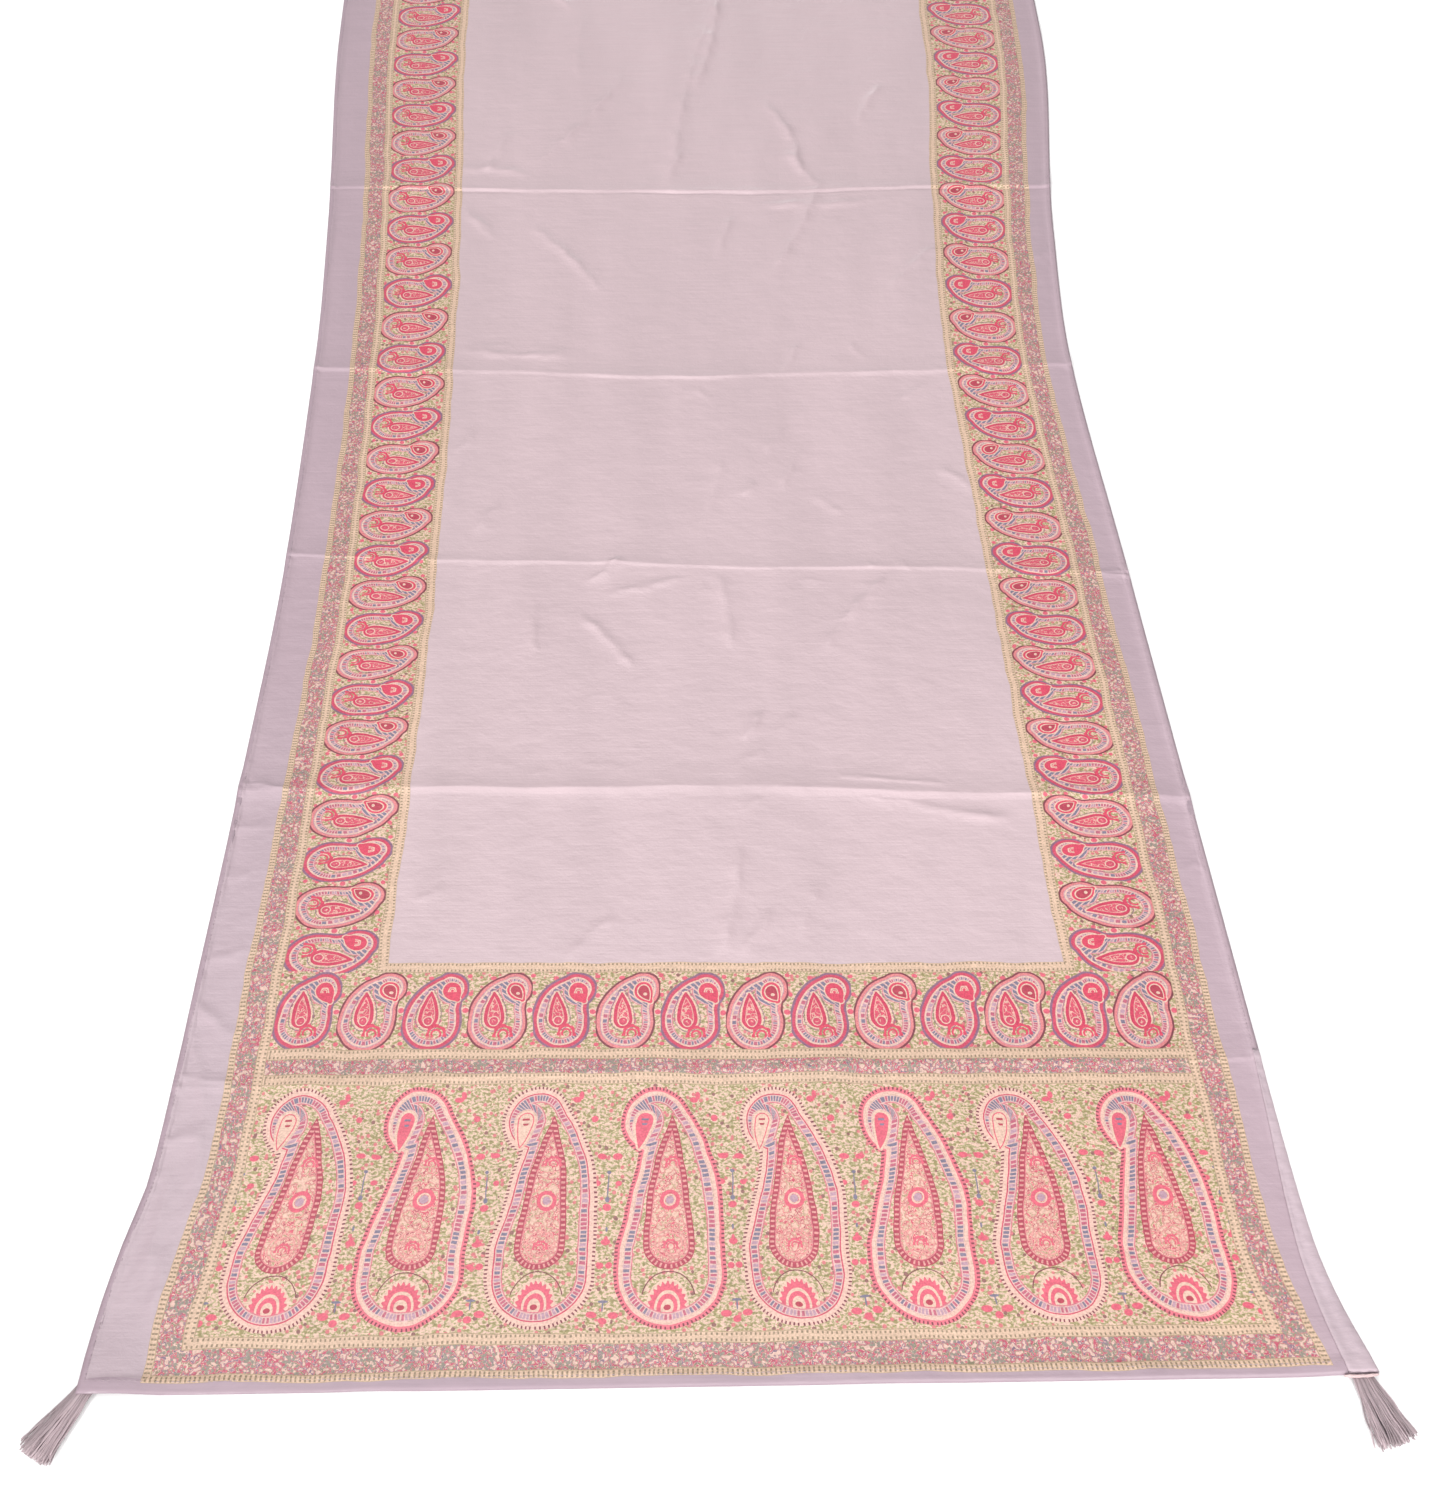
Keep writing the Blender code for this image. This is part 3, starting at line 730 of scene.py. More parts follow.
# %% One thread
Tassel = namedtuple("Tassel", "name across along heading spread seed")
TASSELS = [
    Tassel("tassel_near_left", 0.005, 0.004, 237.5, 0.0130, 3),
    Tassel("tassel_near_right", 0.889, 0.003, 287.0, 0.0148, 5),
    Tassel("tassel_far_left", 0.005, 2.341, 128.0, 0.0140, 7),
    Tassel("tassel_far_right", 0.895, 2.341, 55.0, 0.0132, 9),
]
TASSEL_LENGTH = 0.052
TASSEL_ROOT = -0.005
THREADS = 130
THREAD_RADIUS = 0.00056
THREAD_RINGS = 18
THREAD_SIDES = 8
THREAD_TWIST = 7.0
PLY_DEPTH = 0.26
HEAD_HALF_WIDTH = 0.0056
HEAD_HALF_HEIGHT = 0.0017
TIP_HALF_HEIGHT = 0.0024

ring_part = np.linspace(0.0, 1.0, THREAD_RINGS)[:, None]
angle = 2.0 * np.pi * np.arange(THREAD_SIDES)[None, :] / THREAD_SIDES
plies = 1.0 + PLY_DEPTH * np.cos(2.0 * (angle - 2.0 * np.pi * THREAD_TWIST * ring_part))
taper = np.where(ring_part > 0.97, 0.75, 1.0)
thread = bar("thread", np.stack([
    ring_part + 0.0 * angle, taper * plies * np.cos(angle), taper * plies * np.sin(angle)], -1))
thread_points = np.array([point.co for point in thread.data.vertices])

# %% The four tassels


def make_tassel(tassel):
    """Bent copies of the thread, from a flat head to a wider, flatter brush of tips."""
    chance = np.random.default_rng(tassel.seed)
    root = np.sqrt(chance.uniform(0.0, 1.0, THREADS))
    around = chance.uniform(0.0, 2.0 * np.pi, THREADS)
    u = (root * np.cos(around))[:, None]
    v = (root * np.sin(around))[:, None]
    length = TASSEL_LENGTH * (1.0 - 0.05 * u * u + 0.035 * chance.normal(size=(THREADS, 1)))
    length = np.minimum(length, 1.03 * TASSEL_LENGTH)
    part = thread_points[None, :, 0]
    x = TASSEL_ROOT + (length - TASSEL_ROOT) * part
    opening = part ** 1.15
    stray = chance.normal(scale=0.10, size=(THREADS, 1))
    wave = 0.0011 * chance.normal(size=(THREADS, 1)) * np.sin(
        np.pi * part * chance.uniform(1.0, 2.4, (THREADS, 1)) + chance.uniform(0, 6, (THREADS, 1)))
    wide = HEAD_HALF_WIDTH + opening * (tassel.spread - HEAD_HALF_WIDTH)
    aside = np.clip(u + stray * part, -1.05, 1.05) * wide + wave * part
    high = HEAD_HALF_HEIGHT + part * (TIP_HALF_HEIGHT - HEAD_HALF_HEIGHT)
    crown = np.sqrt(np.clip(1.0 - 0.8 * u * u, 0.05, 1.0))
    centre = THREAD_RADIUS * 1.3 + 0.0004 + (1.0 + v * crown) * high
    centre = centre + 0.0010 * np.exp(-((part - 0.16) / 0.13) ** 2)
    y = aside + THREAD_RADIUS * thread_points[None, :, 1]
    z = centre + THREAD_RADIUS * thread_points[None, :, 2]
    place = lay(tassel.across, tassel.along)
    heading = math.radians(tassel.heading)
    points = np.stack([place[0] + x * math.cos(heading) - y * math.sin(heading),
                       place[1] + x * math.sin(heading) + y * math.cos(heading), z], axis=-1)
    piece = copies("threads_" + tassel.name, thread, points)
    corners = np.zeros(len(piece.data.loops), int)
    piece.data.loops.foreach_get("vertex_index", corners)
    number, point = np.divmod(corners, len(thread_points))
    on_thread = np.stack([number / THREADS, thread_points[point, 0]], axis=-1)
    piece.data.uv_layers.new(name="thread")
    piece.data.uv_layers["thread"].data.foreach_set("uv", on_thread.ravel())
    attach(piece, "root")
    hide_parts(tassel.name)
    return piece


tassels = [make_tassel(tassel) for tassel in TASSELS]
bpy.data.objects.remove(thread, do_unlink=True)
print("tassels", [triangles(piece) for piece in tassels])

# %% [markdown]
# ## The print
# The cloth is printed with a border in the manner of old paisley shawls: a row of tall
# paisleys at each end, a row of small ones inside it and down both sides, narrow bands of
# tiny flowers, and lines of ticks between them. All of it is drawn by nodes from the place on
# the flat cut, in millimetres, so it is sharp at any distance and follows every fold. Each
# form is a distance to a simple shape, and its rings are bands of that distance.

# %% Inks, as they look on the cloth
FIELD = ink("#d9c1c6")
MARGIN = ink("#c4acb6")
# The margin's ink as painted light, blended in towards the near left corner
LIT_MARGIN = ink("#ccb7bf")
CREAM = ink("#f6cfbb")
PEACH = ink("#f9cdbd")
OLIVE = ink("#c4b88c")
SAGE = ink("#a0978a")
PINK = ink("#f06d82")
ROSE = ink("#de5470")
CRIMSON = ink("#c4485c")
WINE = ink("#8a4450")
LILAC = ink("#cba3b4")
VIOLET = ink("#9a6f8a")
# The hem's ink is darker than the margin: painted shade
HEM_SHADE = ink("#b8a1ac")
SLATE = ink("#8a8298")

# %% The layout of the border, in millimetres
WIDE, LONG = 900.0, 2344.0
FRAME_SIDE, FRAME_END = 42.0, 7.0
PANEL_FOOT, PANEL_HIGH = 38.0, 191.0
CELLS_WIDE = 754.0
TALL_PITCH, SMALL_PITCH = CELLS_WIDE / 8, CELLS_WIDE / 14
ROW_FOOT, ROW_HIGH = 259.0, 69.6
SIDE_IN, SIDE_WIDE, SIDE_PITCH, SIDE_START = 73.0, 80.0, 50.0, 322.0
FIELD_SIDE, FIELD_END = 153.0, 328.6
# Where the outer band of flowers starts and stops in from the frame, and the band between the
# rows in from the end, with the middle of that band and of the lines of ticks beside it
OUTER_BAND, CROSS_BAND = (5.5, 23.5), (237.5, 250.5)
CROSS_MIDDLE, CROSS_LINES = 244.0, 10.7
# The ticks are drawn coarser than on the real stole, where they are too fine to show
TICK_PITCH, TICK_SHARE = 3.4, 0.40
# The print is a little wider than drawn, and so its right margin is the narrower one
PRINT_STRETCH, PRINT_START = 0.9825, 1.05
# How far the lines of the print wander from straight
WANDER = 8.0
# Deeper inside than any form reaches, so a ring that starts here fills its form
FAR = -99.0

# %% Simple shapes as distances
Boteh = namedtuple("Boteh", "stem bend_radius bend bulb hook")
SMALL_BOTEH = Boteh(0.0, 40.1, math.radians(50.0), 24.3, 15.3)
TALL_BOTEH = Boteh(47.0, 228.0, math.radians(17.9), 40.0, 27.5)


def boteh(place, shape):
    """A paisley: a round bulb whose body bends over to the left into a hook.

    Gives the distance to its outline, less than nothing inside, and the way along it.
    """
    x, y = add("SeparateXYZ", place, out=slice(2))
    angle = add("ARCTAN2", y, add("ADD", x, shape.bend_radius))
    angle = add("Clamp", angle, 0.0, shape.bend)
    stem = add("Clamp", y, -shape.stem, 0.0)
    cos = add("COSINE", angle)
    sin = add("SINE", angle)
    spine_x = add("MULTIPLY_ADD", cos, shape.bend_radius, -shape.bend_radius)
    spine_y = add("MULTIPLY_ADD", sin, shape.bend_radius, stem)
    away = add("VectorMath SUBTRACT", place, add("CombineXYZ", spine_x, spine_y, 0.0))
    far = add("VectorMath LENGTH", away)
    narrowing = (shape.bulb - shape.hook) / shape.bend ** 2
    half = add("MULTIPLY_ADD", add("MULTIPLY", angle, angle), -narrowing, shape.bulb)
    edge = add("SUBTRACT", far, half)
    ahead = add("VectorMath DOT_PRODUCT", away, add(
        "CombineXYZ", add("MULTIPLY", sin, -1.0), cos, 0.0))
    lean = add("ARCSINE", add("DIVIDE", ahead, far))
    way = add("MULTIPLY_ADD", angle, shape.bend_radius, stem)
    way = add("MULTIPLY_ADD", lean, half, way)
    return edge, way


def drop(place, base, tip, wide, narrow):
    """A teardrop from a round base to a narrow tip: its distance, and the way along it."""
    run = [b - a for a, b in zip(base, tip)]
    length = math.hypot(*run)
    unit = (run[0] / length, run[1] / length, 0.0)
    from_base = add("VectorMath SUBTRACT", place, (*base, 0.0))
    along = add("VectorMath DOT_PRODUCT", from_base, unit)
    held = add("Clamp", along, 0.0, length)
    near = add("VectorMath SCALE", unit, held)
    far = add("VectorMath LENGTH", add("VectorMath SUBTRACT", from_base, near))
    half = add("MULTIPLY_ADD", add("MULTIPLY", held, held), (narrow - wide) / length ** 2, wide)
    past = add("DIVIDE", add("SUBTRACT", along, held), far)
    way = add("MULTIPLY_ADD", add("ARCSINE", past), half, held)
    return add("SUBTRACT", far, half), way


def fan(place, centre, radius, points):
    """An arc of pointed petals over a plain arc, as a mask."""
    rel = add("VectorMath SUBTRACT", place, (*centre, 0.0))
    right, up = add("SeparateXYZ", rel, out=slice(2))
    angle = add("ARCTAN2", up, right)
    far = add("VectorMath LENGTH", rel)
    wave = add("SINE", add("MULTIPLY", angle, float(points)))
    jagged = add("MULTIPLY_ADD", wave, 0.07 * radius, far)
    petals = add("MULTIPLY", add("GREATER_THAN", far, 0.66 * radius),
                 add("LESS_THAN", jagged, 0.95 * radius))
    arc = add("COMPARE", far, 0.43 * radius, 0.10 * radius)
    upper = add("GREATER_THAN", up, -0.28 * radius)
    return add("MULTIPLY", add("MAXIMUM", petals, arc), upper)


def blooms(place, table):
    """Ovals as one mask, from a table whose rows are a centre, half a width and half a height."""
    nearest = None
    for x, y, wide, high in table:
        rel = add("VectorMath SUBTRACT", place, (x, y, 0.0))
        rel = add("VectorMath MULTIPLY", rel, (1.0 / wide, 1.0 / high, 1.0))
        far = add("VectorMath LENGTH", rel)
        nearest = far if nearest is None else add("MINIMUM", nearest, far)
    return add("LESS_THAN", nearest, 1.0)


def band(depth, start, stop):
    """A mask of the places whose depth is between two values."""
    return add("COMPARE", depth, 0.5 * (start + stop), 0.5 * (stop - start))


def depth_in(value, middle, half):
    """How deep a value lies within half a width of a middle: less than nothing outside it."""
    return add("SUBTRACT", half, add("ABSOLUTE", add("SUBTRACT", value, middle)))


def ticks(way, pitch, share):
    """A mask that is on for a share of every pitch along the way."""
    part = add("FRACT", add("DIVIDE", way, pitch))
    return add("LESS_THAN", part, share)


def layer(under, *coats):
    """Coats of ink over a colour: each is a colour and the masks that it has to meet."""
    for colour, *masks in coats:
        mask = masks[0]
        for other in masks[1:]:
            mask = add("MULTIPLY", mask, other)
        under = add("Mix", mask, under, colour, data_type="RGBA")
    return under


def rings(under, depth, *coats):
    """Rings of ink over a colour: each has its ink, first and last depth, and other masks."""
    return layer(under, *[(colour, band(depth, start, stop), *masks)
                          for colour, start, stop, *masks in coats])


def cells(step, pitch, up):
    """The place in a cell of a row, from the cell's middle, and a mask of every second cell."""
    part = add("SUBTRACT", add("FRACT", step), 0.5)
    cell = add("CombineXYZ", add("MULTIPLY", part, pitch), up, 0.0)
    pair = add("FRACT", add("MULTIPLY", add("FLOOR", step), 0.5))
    return cell, add("LESS_THAN", pair, 0.25)


# %% [markdown]
# The ground of the border is cream, covered with small olive leaves and a few pink and brown
# buds. The leaves are the high places of a noise about two millimetres across. Fine tendrils
# are the level lines of another noise, and they are used again in the flowery fillings.

# %% The speckled ground and the tendrils


def ground(place):
    grain = add("TexNoise", add("VectorMath MULTIPLY", place, (1.0, 1.5, 1.0)), 0.36, 1.5, 0.65)
    leaf = add("GREATER_THAN", grain, 0.485)
    dark_leaf = add("GREATER_THAN", grain, 0.57)
    buds = add("TexVoronoi", place, 0.21)
    bud_ink = add("SeparateXYZ", buds.node.outputs["Color"])
    bud = add("LESS_THAN", buds, 0.33)
    pink = add("GREATER_THAN", bud_ink, 0.44)
    brown = add("LESS_THAN", bud_ink, 0.16)
    return layer(CREAM, (OLIVE, leaf), (ink("#a89a6a"), dark_leaf),
                 (ink("#e58588"), bud, pink), (ink("#a0706a"), bud, brown))


def tendrils(place):
    """A noise whose level lines are curls about a millimetre wide."""
    return add("TexNoise", place, 0.22, 1.0, 0.6)


def flowery(under, scroll, *inks):
    """Curls of several inks over a colour, each at a level of the tendrils' noise."""
    for level, wide, colour in inks:
        under = layer(under, (colour, add("COMPARE", scroll, level, wide)))
    return under


# %% [markdown]
# A chain of short dashes in blue, lilac and pink runs inside every outline. Each dash takes
# its ink by chance from the number of its step along the way.

# %% Chains of dashes


def chain(under, way, depth, start, stop, pitch):
    step = add("DIVIDE", way, pitch)
    number = add("FLOOR", step)
    chance = add("TexWhiteNoise", number, noise_dimensions="1D")
    dash = add("LESS_THAN", add("FRACT", step), 0.68)
    inside = band(depth, start, stop)
    edge = 0.14 * (stop - start)
    core = band(depth, start + edge, stop - edge)
    blue = add("GREATER_THAN", chance, 0.40)
    lilac = add("GREATER_THAN", chance, 0.78)
    return layer(under, (ink("#eec3bd"), inside), (ink("#cf6c84"), dash, core),
                 (SLATE, dash, core, blue), (LILAC, dash, core, lilac))


# %% [markdown]
# Small paisleys stand in a row across each end and lie in two columns down the sides, with
# their round ends outwards. Every second one has a hot pink band and a violet outline, and
# the ones between have a salmon band and a wine outline.

# %% The small paisley
SMALL_CENTRE = (-2.9, -11.9)
# How far the buds' line is from the paisley's, and the buds on it
BUDS_BESIDE = 27.0
BUDS = [
    (0.0, 31.0, 2.3, 1.9), (1.5, 14.0, 2.0, 2.0),
    (0.0, -22.0, 2.0, 1.7), (1.0, -30.5, 2.2, 1.7), (-14.0, -32.5, 2.0, 1.5),
    (20.0, 29.0, 2.4, 1.8),
]


def small_paisley(under, scroll, cell, even):
    """cell is the place in the cell, hook to the right; even marks every second paisley."""
    p, q = add("SeparateXYZ", cell, out=slice(2))
    side = add("SIGN", p)
    beside = add("CombineXYZ", add("MULTIPLY_ADD", side, -BUDS_BESIDE, p), q, 0.0)
    odd = add("SUBTRACT", 1.0, even)
    place = add("VectorMath SUBTRACT", cell, (*SMALL_CENTRE, 0.0))
    place = add("VectorMath MULTIPLY", place, (-1.0, 1.0, 1.0))
    edge, way = boteh(place, SMALL_BOTEH)
    notch = add("VectorMath DISTANCE", place, (-33.2, 12.4, 0.0))
    edge = add("MAXIMUM", edge, add("SUBTRACT", 10.0, notch))
    depth = add("MULTIPLY", edge, -1.0)
    eye, _ = drop(place, (-15.0, 29.0), (-20.5, 20.5), 7.0, 1.4)
    inner = add("MINIMUM", depth, add("ADD", eye, 3.6))
    tear, _ = drop(place, (2.4, 3.4), (3.2, 27.0), 7.6, 0.4)
    seed = add("VectorMath DISTANCE", place, (2.4, 1.4, 0.0))
    colour = layer(under, (PINK, blooms(beside, BUDS)))
    colour = rings(colour, depth, (VIOLET, -0.9, 1.1), (WINE, -0.9, 0.8, odd),
                   (ROSE, 1.1, 3.9), (ink("#ee8f92"), 0.8, 3.3, odd), (LILAC, 3.3, 4.0, odd),
                   (CREAM, 3.9, 4.9))
    colour = chain(colour, way, inner, 4.9, 9.2, 3.2)
    colour = rings(colour, inner, (ink("#e3899a"), 9.2, 10.0))
    curls = add("COMPARE", scroll, 0.5, 0.030)
    colour = rings(colour, tear, (VIOLET, 2.6, 3.2), (CREAM, FAR, 1.8),
                   (ink("#dd4767"), FAR, 0.6), (ink("#f4b3a8"), FAR, -2.3),
                   (ink("#e65c74"), FAR, -3.1), (ink("#f5c0b0"), FAR, -3.1, curls))
    colour = rings(colour, seed, (ROSE, 1.6, 3.4), (CREAM, 3.4, 4.3))
    colour = layer(colour, (ink("#e9506c"), fan(place, (-5.5, -9.5), 8.4, 7)))
    colour = rings(colour, eye, (CREAM, 0.8, 1.9), (ink("#e9506c"), FAR, 0.8),
                   (CREAM, -2.3, -1.2, odd), (CRIMSON, FAR, -2.3, odd))
    outside = add("LESS_THAN", depth, -0.9)
    return layer(colour,
                 (CREAM, fan(place, (-15.2, 28.6), 4.0, 5), even),
                 (CREAM, blooms(place, [(-16.6, 26.2, 1.7, 1.3)]), odd),
                 (CREAM, outside, blooms(beside, [(-2.5, -1.5, 4.0, 3.6)])),
                 (PINK, outside, blooms(beside, [(-2.5, -1.5, 2.6, 2.3)])))


# %% [markdown]
# The tall paisleys fill the end panel. Their outlines carry a row of dark ticks, and inside
# each hangs a crimson teardrop drawn like a ladder, with flowers in it, over a fan of petals.
# Between them a thin spray of buds stands on every line of the panel.

# %% The tall paisley
TEETH_PITCH, LADDER_PITCH = 3.1, 4.0
SPRAY = [
    (0.0, 94.0, 3.2, 2.6), (0.0, 67.0, 3.6, 2.2), (0.0, 68.0, 1.6, 3.6),
    (0.0, 9.5, 3.0, 2.6), (-12.5, 163.0, 2.8, 2.6), (-28.0, 178.0, 3.4, 2.2),
    (-24.5, 181.5, 2.0, 3.2),
]
SPRAY_PAIRS = [
    (6.0, 133.5, 3.8, 2.3), (8.0, 112.0, 2.6, 2.2), (3.2, 49.5, 2.6, 2.4),
    (7.6, 13.8, 3.9, 2.5),
]
STEMS = [
    (0.0, 110.0, 0.55, 11.0), (0.0, 121.0, 1.6, 1.4), (0.0, 99.5, 1.7, 2.0),
    (0.0, 77.0, 0.9, 2.0), (0.0, 23.5, 3.6, 1.0), (0.0, 20.0, 0.6, 4.0),
]


def tall_paisley(under, scroll, cell, even):
    """cell is the place from the middle of the panel's foot; even marks the cream ones."""
    x, y = add("SeparateXYZ", cell, out=slice(2))
    beside = add("MULTIPLY_ADD", add("SIGN", x), -0.5 * TALL_PITCH, x)
    spray = add("CombineXYZ", beside, y, 0.0)
    pairs = add("CombineXYZ", add("ABSOLUTE", beside), y, 0.0)
    under = layer(
        under,
        (PINK, blooms(spray, SPRAY)),
        (PINK, blooms(pairs, SPRAY_PAIRS)),
        (SLATE, blooms(spray, STEMS)))
    place = add("VectorMath SUBTRACT", cell, (0.0, 90.0, 0.0))
    edge, way = boteh(place, TALL_BOTEH)
    waist = add("VectorMath DOT_PRODUCT", add(
        "VectorMath SUBTRACT", place, (-39.5, -25.0, 0.0)), (-0.974, 0.225, 0.0))
    head = add("VectorMath DISTANCE", place, (-11.0, 70.0, 0.0))
    edge = add("MAXIMUM", edge, waist)
    edge = add("MINIMUM", edge, add("SUBTRACT", head, 27.5))
    depth = add("MULTIPLY", edge, -1.0)
    eye, _ = drop(place, (-20.0, 71.0), (-24.0, 49.0), 6.0, 0.6)
    inner = add("MINIMUM", depth, add("ADD", eye, 4.2))
    odd = add("SUBTRACT", 1.0, even)
    teeth = ticks(way, TEETH_PITCH, TICK_SHARE)
    colour = rings(under, depth, (PEACH, -0.4, 6.0), (ink("#f4808f"), -0.3, 3.4, odd),
                   (WINE, -0.3, 2.0, teeth), (ROSE, 5.2, 6.2, even))
    colour = chain(colour, way, inner, 6.2, 12.0, 3.3)
    colour = rings(colour, inner, (ink("#e68593"), 12.0, 12.9))
    clear = add("GREATER_THAN", inner, 12.9)
    tear, tear_way = drop(place, (-0.8, -25.6), (1.0, 74.0), 18.8, 0.6)
    ladder = ticks(tear_way, LADDER_PITCH, TICK_SHARE)
    in_tear = add("LESS_THAN", tear, -5.2)
    filling = flowery(ink("#f7c9b6"), scroll, (0.50, 0.024, ink("#e4677a")),
                      (0.42, 0.020, ink("#c8616e")), (0.58, 0.020, ink("#bda57e")))
    rosette = add("VectorMath DISTANCE", place, (1.0, 9.0, 0.0))
    crown = add("VectorMath DISTANCE", place, (0.0, -25.0, 0.0))
    colour = rings(colour, tear, (filling, FAR, -5.2), (ink("#c04c60"), -4.6, 0.0),
                   (ink("#eda7a0"), -3.9, -0.8, ladder), (ink("#e98e93"), -5.4, -4.6))
    colour = layer(colour, (PINK, fan(place, (3.0, 37.0), 6.4, 9)))
    colour = rings(colour, rosette, (PINK, 4.9, 8.0), (CREAM, 3.8, 4.9), (LILAC, FAR, 3.2))
    colour = rings(colour, crown, (ink("#f0a6a0"), 7.6, 8.6, in_tear),
                   (ink("#f0a6a0"), 10.2, 11.4, in_tear))
    arch = add("VectorMath DISTANCE", place, (-0.5, -64.5, 0.0))
    above = add("GREATER_THAN", y, 28.0)
    stretched = add("VectorMath MULTIPLY", place, (1.0, 0.74, 1.0))
    disc = add("VectorMath DISTANCE", stretched, (-1.0, -52.5, 0.0))
    colour = layer(
        colour,
        (PINK, fan(place, (0.0, -27.0), 6.0, 9)),
        (CREAM, clear, add("LESS_THAN", disc, 15.0)),
        (WINE, band(arch, 18.2, 19.0), above),
        (PINK, clear, fan(stretched, (-1.0, -52.5), 13.6, 23)),
        (CRIMSON, blooms(place, [(-1.0, -70.8, 2.6, 2.0)])))
    outlined = add("GREATER_THAN", depth, 1.0)
    colour = rings(colour, eye, (CREAM, 0.0, 1.8, outlined), (PINK, FAR, 0.0),
                   (CREAM, FAR, -0.9, even))
    spot = blooms(place, [(-20.2, 71.5, 2.6, 5.6)])
    return layer(colour, (CRIMSON, spot, even, ladder), (SLATE, spot, odd, ladder))


# %% [markdown]
# The narrow bands hold clumps of tiny flowers, pink and lilac curls between grey-green
# leaves. At this size they read as curls and specks of mixed ink. The specks are cells of a
# Voronoi texture, and their ink changes with the way along the band.

# %% The narrow floral band
CLUMP_PITCH = 27.0


def floral_band(place, scroll, way):
    specks = add("TexVoronoi", place, 0.40)
    chance, other = add("SeparateXYZ", specks.node.outputs["Color"], out=slice(2))
    clump = add("SINE", add("MULTIPLY", way, 2.0 * math.pi / CLUMP_PITCH))
    leafy = add("GREATER_THAN", add("MULTIPLY_ADD", other, 1.1, clump), 0.75)
    speck = add("LESS_THAN", specks, 0.44)
    colour = flowery(ink("#f0c9ba"), scroll, (0.50, 0.036, ink("#cf5f76")),
                     (0.42, 0.024, ink("#94798c")), (0.58, 0.024, ink("#988c72")))
    return layer(
        colour,
        (ink("#b08a94"), speck, add("GREATER_THAN", chance, 0.70)),
        (SAGE, add("LESS_THAN", specks, 0.48), leafy),
        (PINK, add("LESS_THAN", specks, 0.30), add("GREATER_THAN", chance, 0.84)))


# %% The whole print


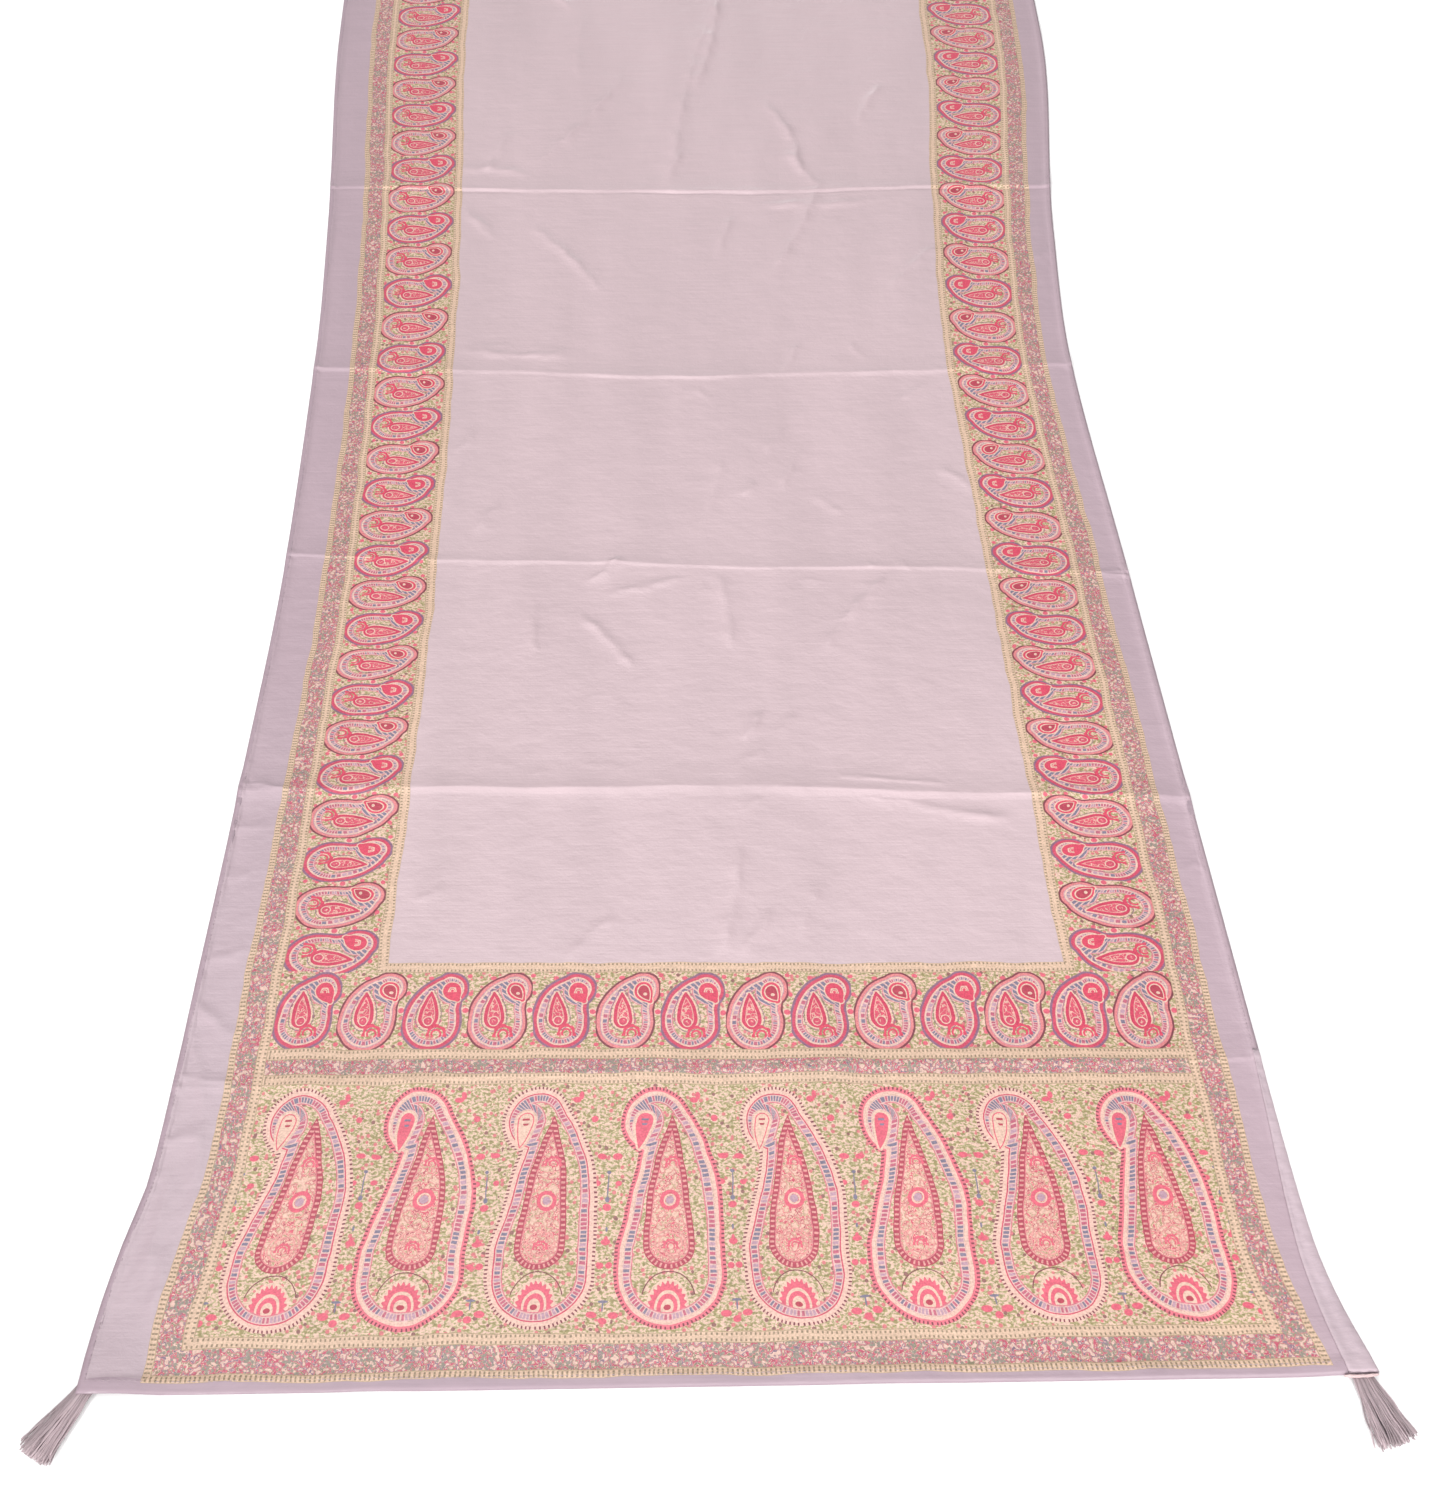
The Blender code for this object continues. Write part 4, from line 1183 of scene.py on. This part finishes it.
def printed():
    """The colour of the printed face, from the place on the flat cut."""
    cut = add("UVMap", uv_map="cut")
    place = add("VectorMath MULTIPLY_ADD", cut, (1000.0 * PRINT_STRETCH, 1000.0, 0.0),
                (PRINT_START, 0.0, 0.0))
    wander = add("TexNoise", place, 0.017, 3.0, 0.5, out=1)
    wander = add("VectorMath SUBTRACT", wander, (0.5, 0.5, 0.5))
    place = add("VectorMath ADD", place, add("VectorMath SCALE", wander, WANDER))
    s, t = add("SeparateXYZ", place, out=slice(2))
    from_side = depth_in(s, 0.5 * WIDE, 0.5 * WIDE)
    from_end = depth_in(t, 0.5 * LONG, 0.5 * LONG)
    frame_side = add("SUBTRACT", from_side, FRAME_SIDE)
    frame_end = add("SUBTRACT", from_end, FRAME_END)
    frame_in = add("MINIMUM", frame_side, frame_end)
    field_side = add("SUBTRACT", from_side, FIELD_SIDE)
    field_end = add("SUBTRACT", from_end, FIELD_END)
    field_in = add("MINIMUM", field_side, field_end)
    within = add("GREATER_THAN", from_side, SIDE_IN)

    speckled = ground(place)
    scroll = tendrils(place)

    # The end panel
    step = add("DIVIDE", add("SUBTRACT", s, SIDE_IN), TALL_PITCH)
    up = add("SUBTRACT", from_end, PANEL_FOOT)
    tall = tall_paisley(speckled, scroll, *cells(step, TALL_PITCH, up))
    panel = add("MULTIPLY", within, add("LESS_THAN", from_end, PANEL_FOOT + PANEL_HIGH))

    # The rows of small paisleys, across the end and down the sides
    step = add("DIVIDE", add("SUBTRACT", s, SIDE_IN), SMALL_PITCH)
    side_step = add("DIVIDE", add("SUBTRACT", t, SIDE_START), SIDE_PITCH)
    on_side = add("GREATER_THAN", from_end, FIELD_END)
    step = add("Mix", on_side, step, side_step)
    up = add("SUBTRACT", from_end, ROW_FOOT + 0.5 * ROW_HIGH)
    side_up = add("SUBTRACT", from_side, SIDE_IN + 0.5 * SIDE_WIDE)
    up = add("Mix", on_side, up, add("MULTIPLY", side_up, ROW_HIGH / SIDE_WIDE))
    small = small_paisley(speckled, scroll, *cells(step, SMALL_PITCH, up))

    # Bands of tiny flowers, and lines of ticks
    outer_band = band(frame_in, *OUTER_BAND)
    cross_band = add("MULTIPLY", within, band(from_end, *CROSS_BAND))
    outside = add("LESS_THAN", from_side, SIDE_IN)
    up_the_frame = add("LESS_THAN", frame_side, frame_end)
    up_the_field = add("LESS_THAN", field_side, field_end)
    past_row = add("MULTIPLY", up_the_field, on_side)
    upward = add("Mix", outside, past_row, up_the_frame)
    way = add("Mix", upward, s, t)
    flowers = floral_band(place, scroll, way)
    across = add("ABSOLUTE", add("SUBTRACT", from_end, CROSS_MIDDLE))
    line_depth = add("MINIMUM", depth_in(across, CROSS_LINES, 4.2),
                     add("SUBTRACT", from_side, SIDE_IN))
    lines = [(frame_in, 2.75, 2.75), (frame_in, 27.25, 3.75), (field_in, 4.5, 4.5)]
    for inward, middle, half in lines:
        line_depth = add("MAXIMUM", line_depth, depth_in(inward, middle, half))
    teeth = ticks(way, TICK_PITCH, TICK_SHARE)

    # From the bottom coat up
    border = layer(small, (tall, panel), (flowers, add("MAXIMUM", outer_band, cross_band)))
    border = rings(border, line_depth, (ink("#edcab0"), 0.0, 5.0),
                   (ink("#a38e74"), 0.7, 2.6, teeth), (ink("#bfa686"), -0.4, 0.3))
    grain = add("TexNoise", place, 0.75, 0.0, 0.5)
    grain = add("MapRange", grain, 0.25, 0.75, 0.80, 1.08)
    border = add("Mix", 1.0, border, grain, data_type="RGBA", blend_type="MULTIPLY")
    in_border = add("MULTIPLY", add("GREATER_THAN", frame_in, 0.0), add("LESS_THAN", field_in, 9.0))
    # Painted shade: the hem is darker, as less of the white floor shines through its turned layers
    hem = add("MINIMUM", add("SUBTRACT", from_side, 1000.0 * SIDE_HEM),
              add("SUBTRACT", from_end, 1000.0 * END_HEM))
    # Painted light: the margin is paler towards the near left corner
    corner = add("VectorMath DISTANCE", place, (0.0, 100.0, 0.0))
    corner = add("MapRange", corner, 100.0, 600.0, 1.0, 0.0)
    margin = add("Mix", corner, MARGIN, LIT_MARGIN, data_type="RGBA")
    plain = layer(margin, (FIELD, add("GREATER_THAN", field_in, 0.0)),
                  (HEM_SHADE, add("LESS_THAN", hem, 0.0)))
    return layer(plain, (border, in_border))


# %% [markdown]
# ## Satin
# The cloth is a light satin weave with slubs, the thicker places in its weft, and long faint
# streaks of painted sheen, the satin's shimmer laid into its colour. It has a soft broad sheen,
# and a fine crumple that was left by handling. The paper is lit past white, so each cloth
# colour is dimmed by one share and then looks as its ink.

# %% Slubs and crumple, shared by the cloth's materials
COVER = 0.722
SLUB_DEPTH = 0.0004
CRUMPLE_DEPTH = 0.0017


def woven(place, darkest, lightest):
    """The tone, with long streaks of painted sheen, and the relief of a slubby weave, for a place
    in millimetres.
    """
    slubs = add("TexNoise", add("VectorMath MULTIPLY", place, (0.030, 1.0, 1.0)), 0.55, 3.0, 0.6)
    tone = add("MapRange", slubs, 0.25, 0.75, COVER * darkest, COVER * lightest)
    # Long faint streaks of painted sheen, lighter and darker along the warp
    sheen_streaks = add("TexNoise", add("VectorMath MULTIPLY", place, (1.0, 0.22, 1.0)), 0.014, 3.0, 0.55)
    sheen_streaks = add("MapRange", sheen_streaks, 0.32, 0.68, 0.965, 1.035)
    tone = add("MULTIPLY", tone, sheen_streaks)
    crumple = add("TexNoise", add("VectorMath MULTIPLY", place, (0.8, 1.1, 1.0)), 0.040, 5.0, 0.58)
    fine = add("Bump", 0.35, SLUB_DEPTH, None, slubs)
    relief = add("Bump", 0.80, CRUMPLE_DEPTH, None, crumple, fine)
    return tone, relief


def satin(name, paint, darkest, lightest, roughness, **source):
    """A satin, whose ink paint gives. source names coordinates other than those of the cut."""
    material, surface = new_material(name)
    place = add("TexCoord", **source) if source else add("UVMap", uv_map="cut")
    tone, relief = woven(add("VectorMath SCALE", place, 1000.0), darkest, lightest)
    colour = add("Mix", 1.0, paint(), tone, data_type="RGBA", blend_type="MULTIPLY")
    tree.links.new(colour, surface.inputs["Base Color"])
    tree.links.new(relief, surface.inputs["Normal"])
    surface.inputs["Roughness"].default_value = roughness
    return material, surface


# %% Printed satin, and its underside, where the print shows through faintly
silk, surface = satin("printed satin weave", printed, 0.94, 1.04, 0.40)
surface.inputs["Sheen Weight"].default_value = 0.06
surface.inputs["Sheen Roughness"].default_value = 0.4
back, _ = satin("satin weave underside", lambda: add(
    "Mix", 0.55, printed(), ink("#e2ccce"), data_type="RGBA"), 0.92, 1.04, 0.6)
cloth.data.materials.append(silk)
cloth.data.materials.append(back)

# %% Plain satin: the unprinted edge of the cloth in hems, stitches, fold and lip
# The hem strips' colour is painted darker than the margin, as shade on their turned layers
PLAIN_DYES_AND_SHADE = [("satin hem, painted shade", "#b39ea8", hems), ("sewing thread", "#c2aeb6", [stitches]),
              ("satin fold, underside out", "#cdb9c1", [side_fold]),
              ("satin lip", "#dfc3c3", [lip])]
for name, dye_and_shade, pieces in PLAIN_DYES_AND_SHADE:
    plain, surface = satin(name, lambda: ink(dye_and_shade), 0.90, 1.06, 0.55, out=3)
    surface.inputs["Specular IOR Level"].default_value = 0.35
    for piece in pieces:
        piece.data.materials.append(plain)

# %% [markdown]
# The tassels are rayon, a bright thread. Every thread takes its own tone by chance from its
# number, and the threads are painted darker in the head, as shade where they are packed close.

# %% Rayon thread
rayon, surface = new_material("rayon thread")
share, part = add("SeparateXYZ", add("UVMap", uv_map="thread"), out=slice(2))
number = add("FLOOR", add("MULTIPLY", share, THREADS + 0.01))
chance = add("TexWhiteNoise", number, noise_dimensions="1D")
tone = add("MapRange", chance, 0.0, 1.0, 0.56 * COVER, 1.16 * COVER)
# Painted shade: darker towards the head, where the threads are packed close
packed_shade = add("MapRange", part, 0.0, 0.45, 0.80, 1.0)
tone = add("MULTIPLY", tone, packed_shade)
colour = add("Mix", 1.0, ink("#c4afb4"), tone, data_type="RGBA", blend_type="MULTIPLY")
tree.links.new(colour, surface.inputs["Base Color"])
surface.inputs["Roughness"].default_value = 0.42
for piece in tassels:
    piece.data.materials.append(rayon)
print("materials", [material.name for material in bpy.data.materials])
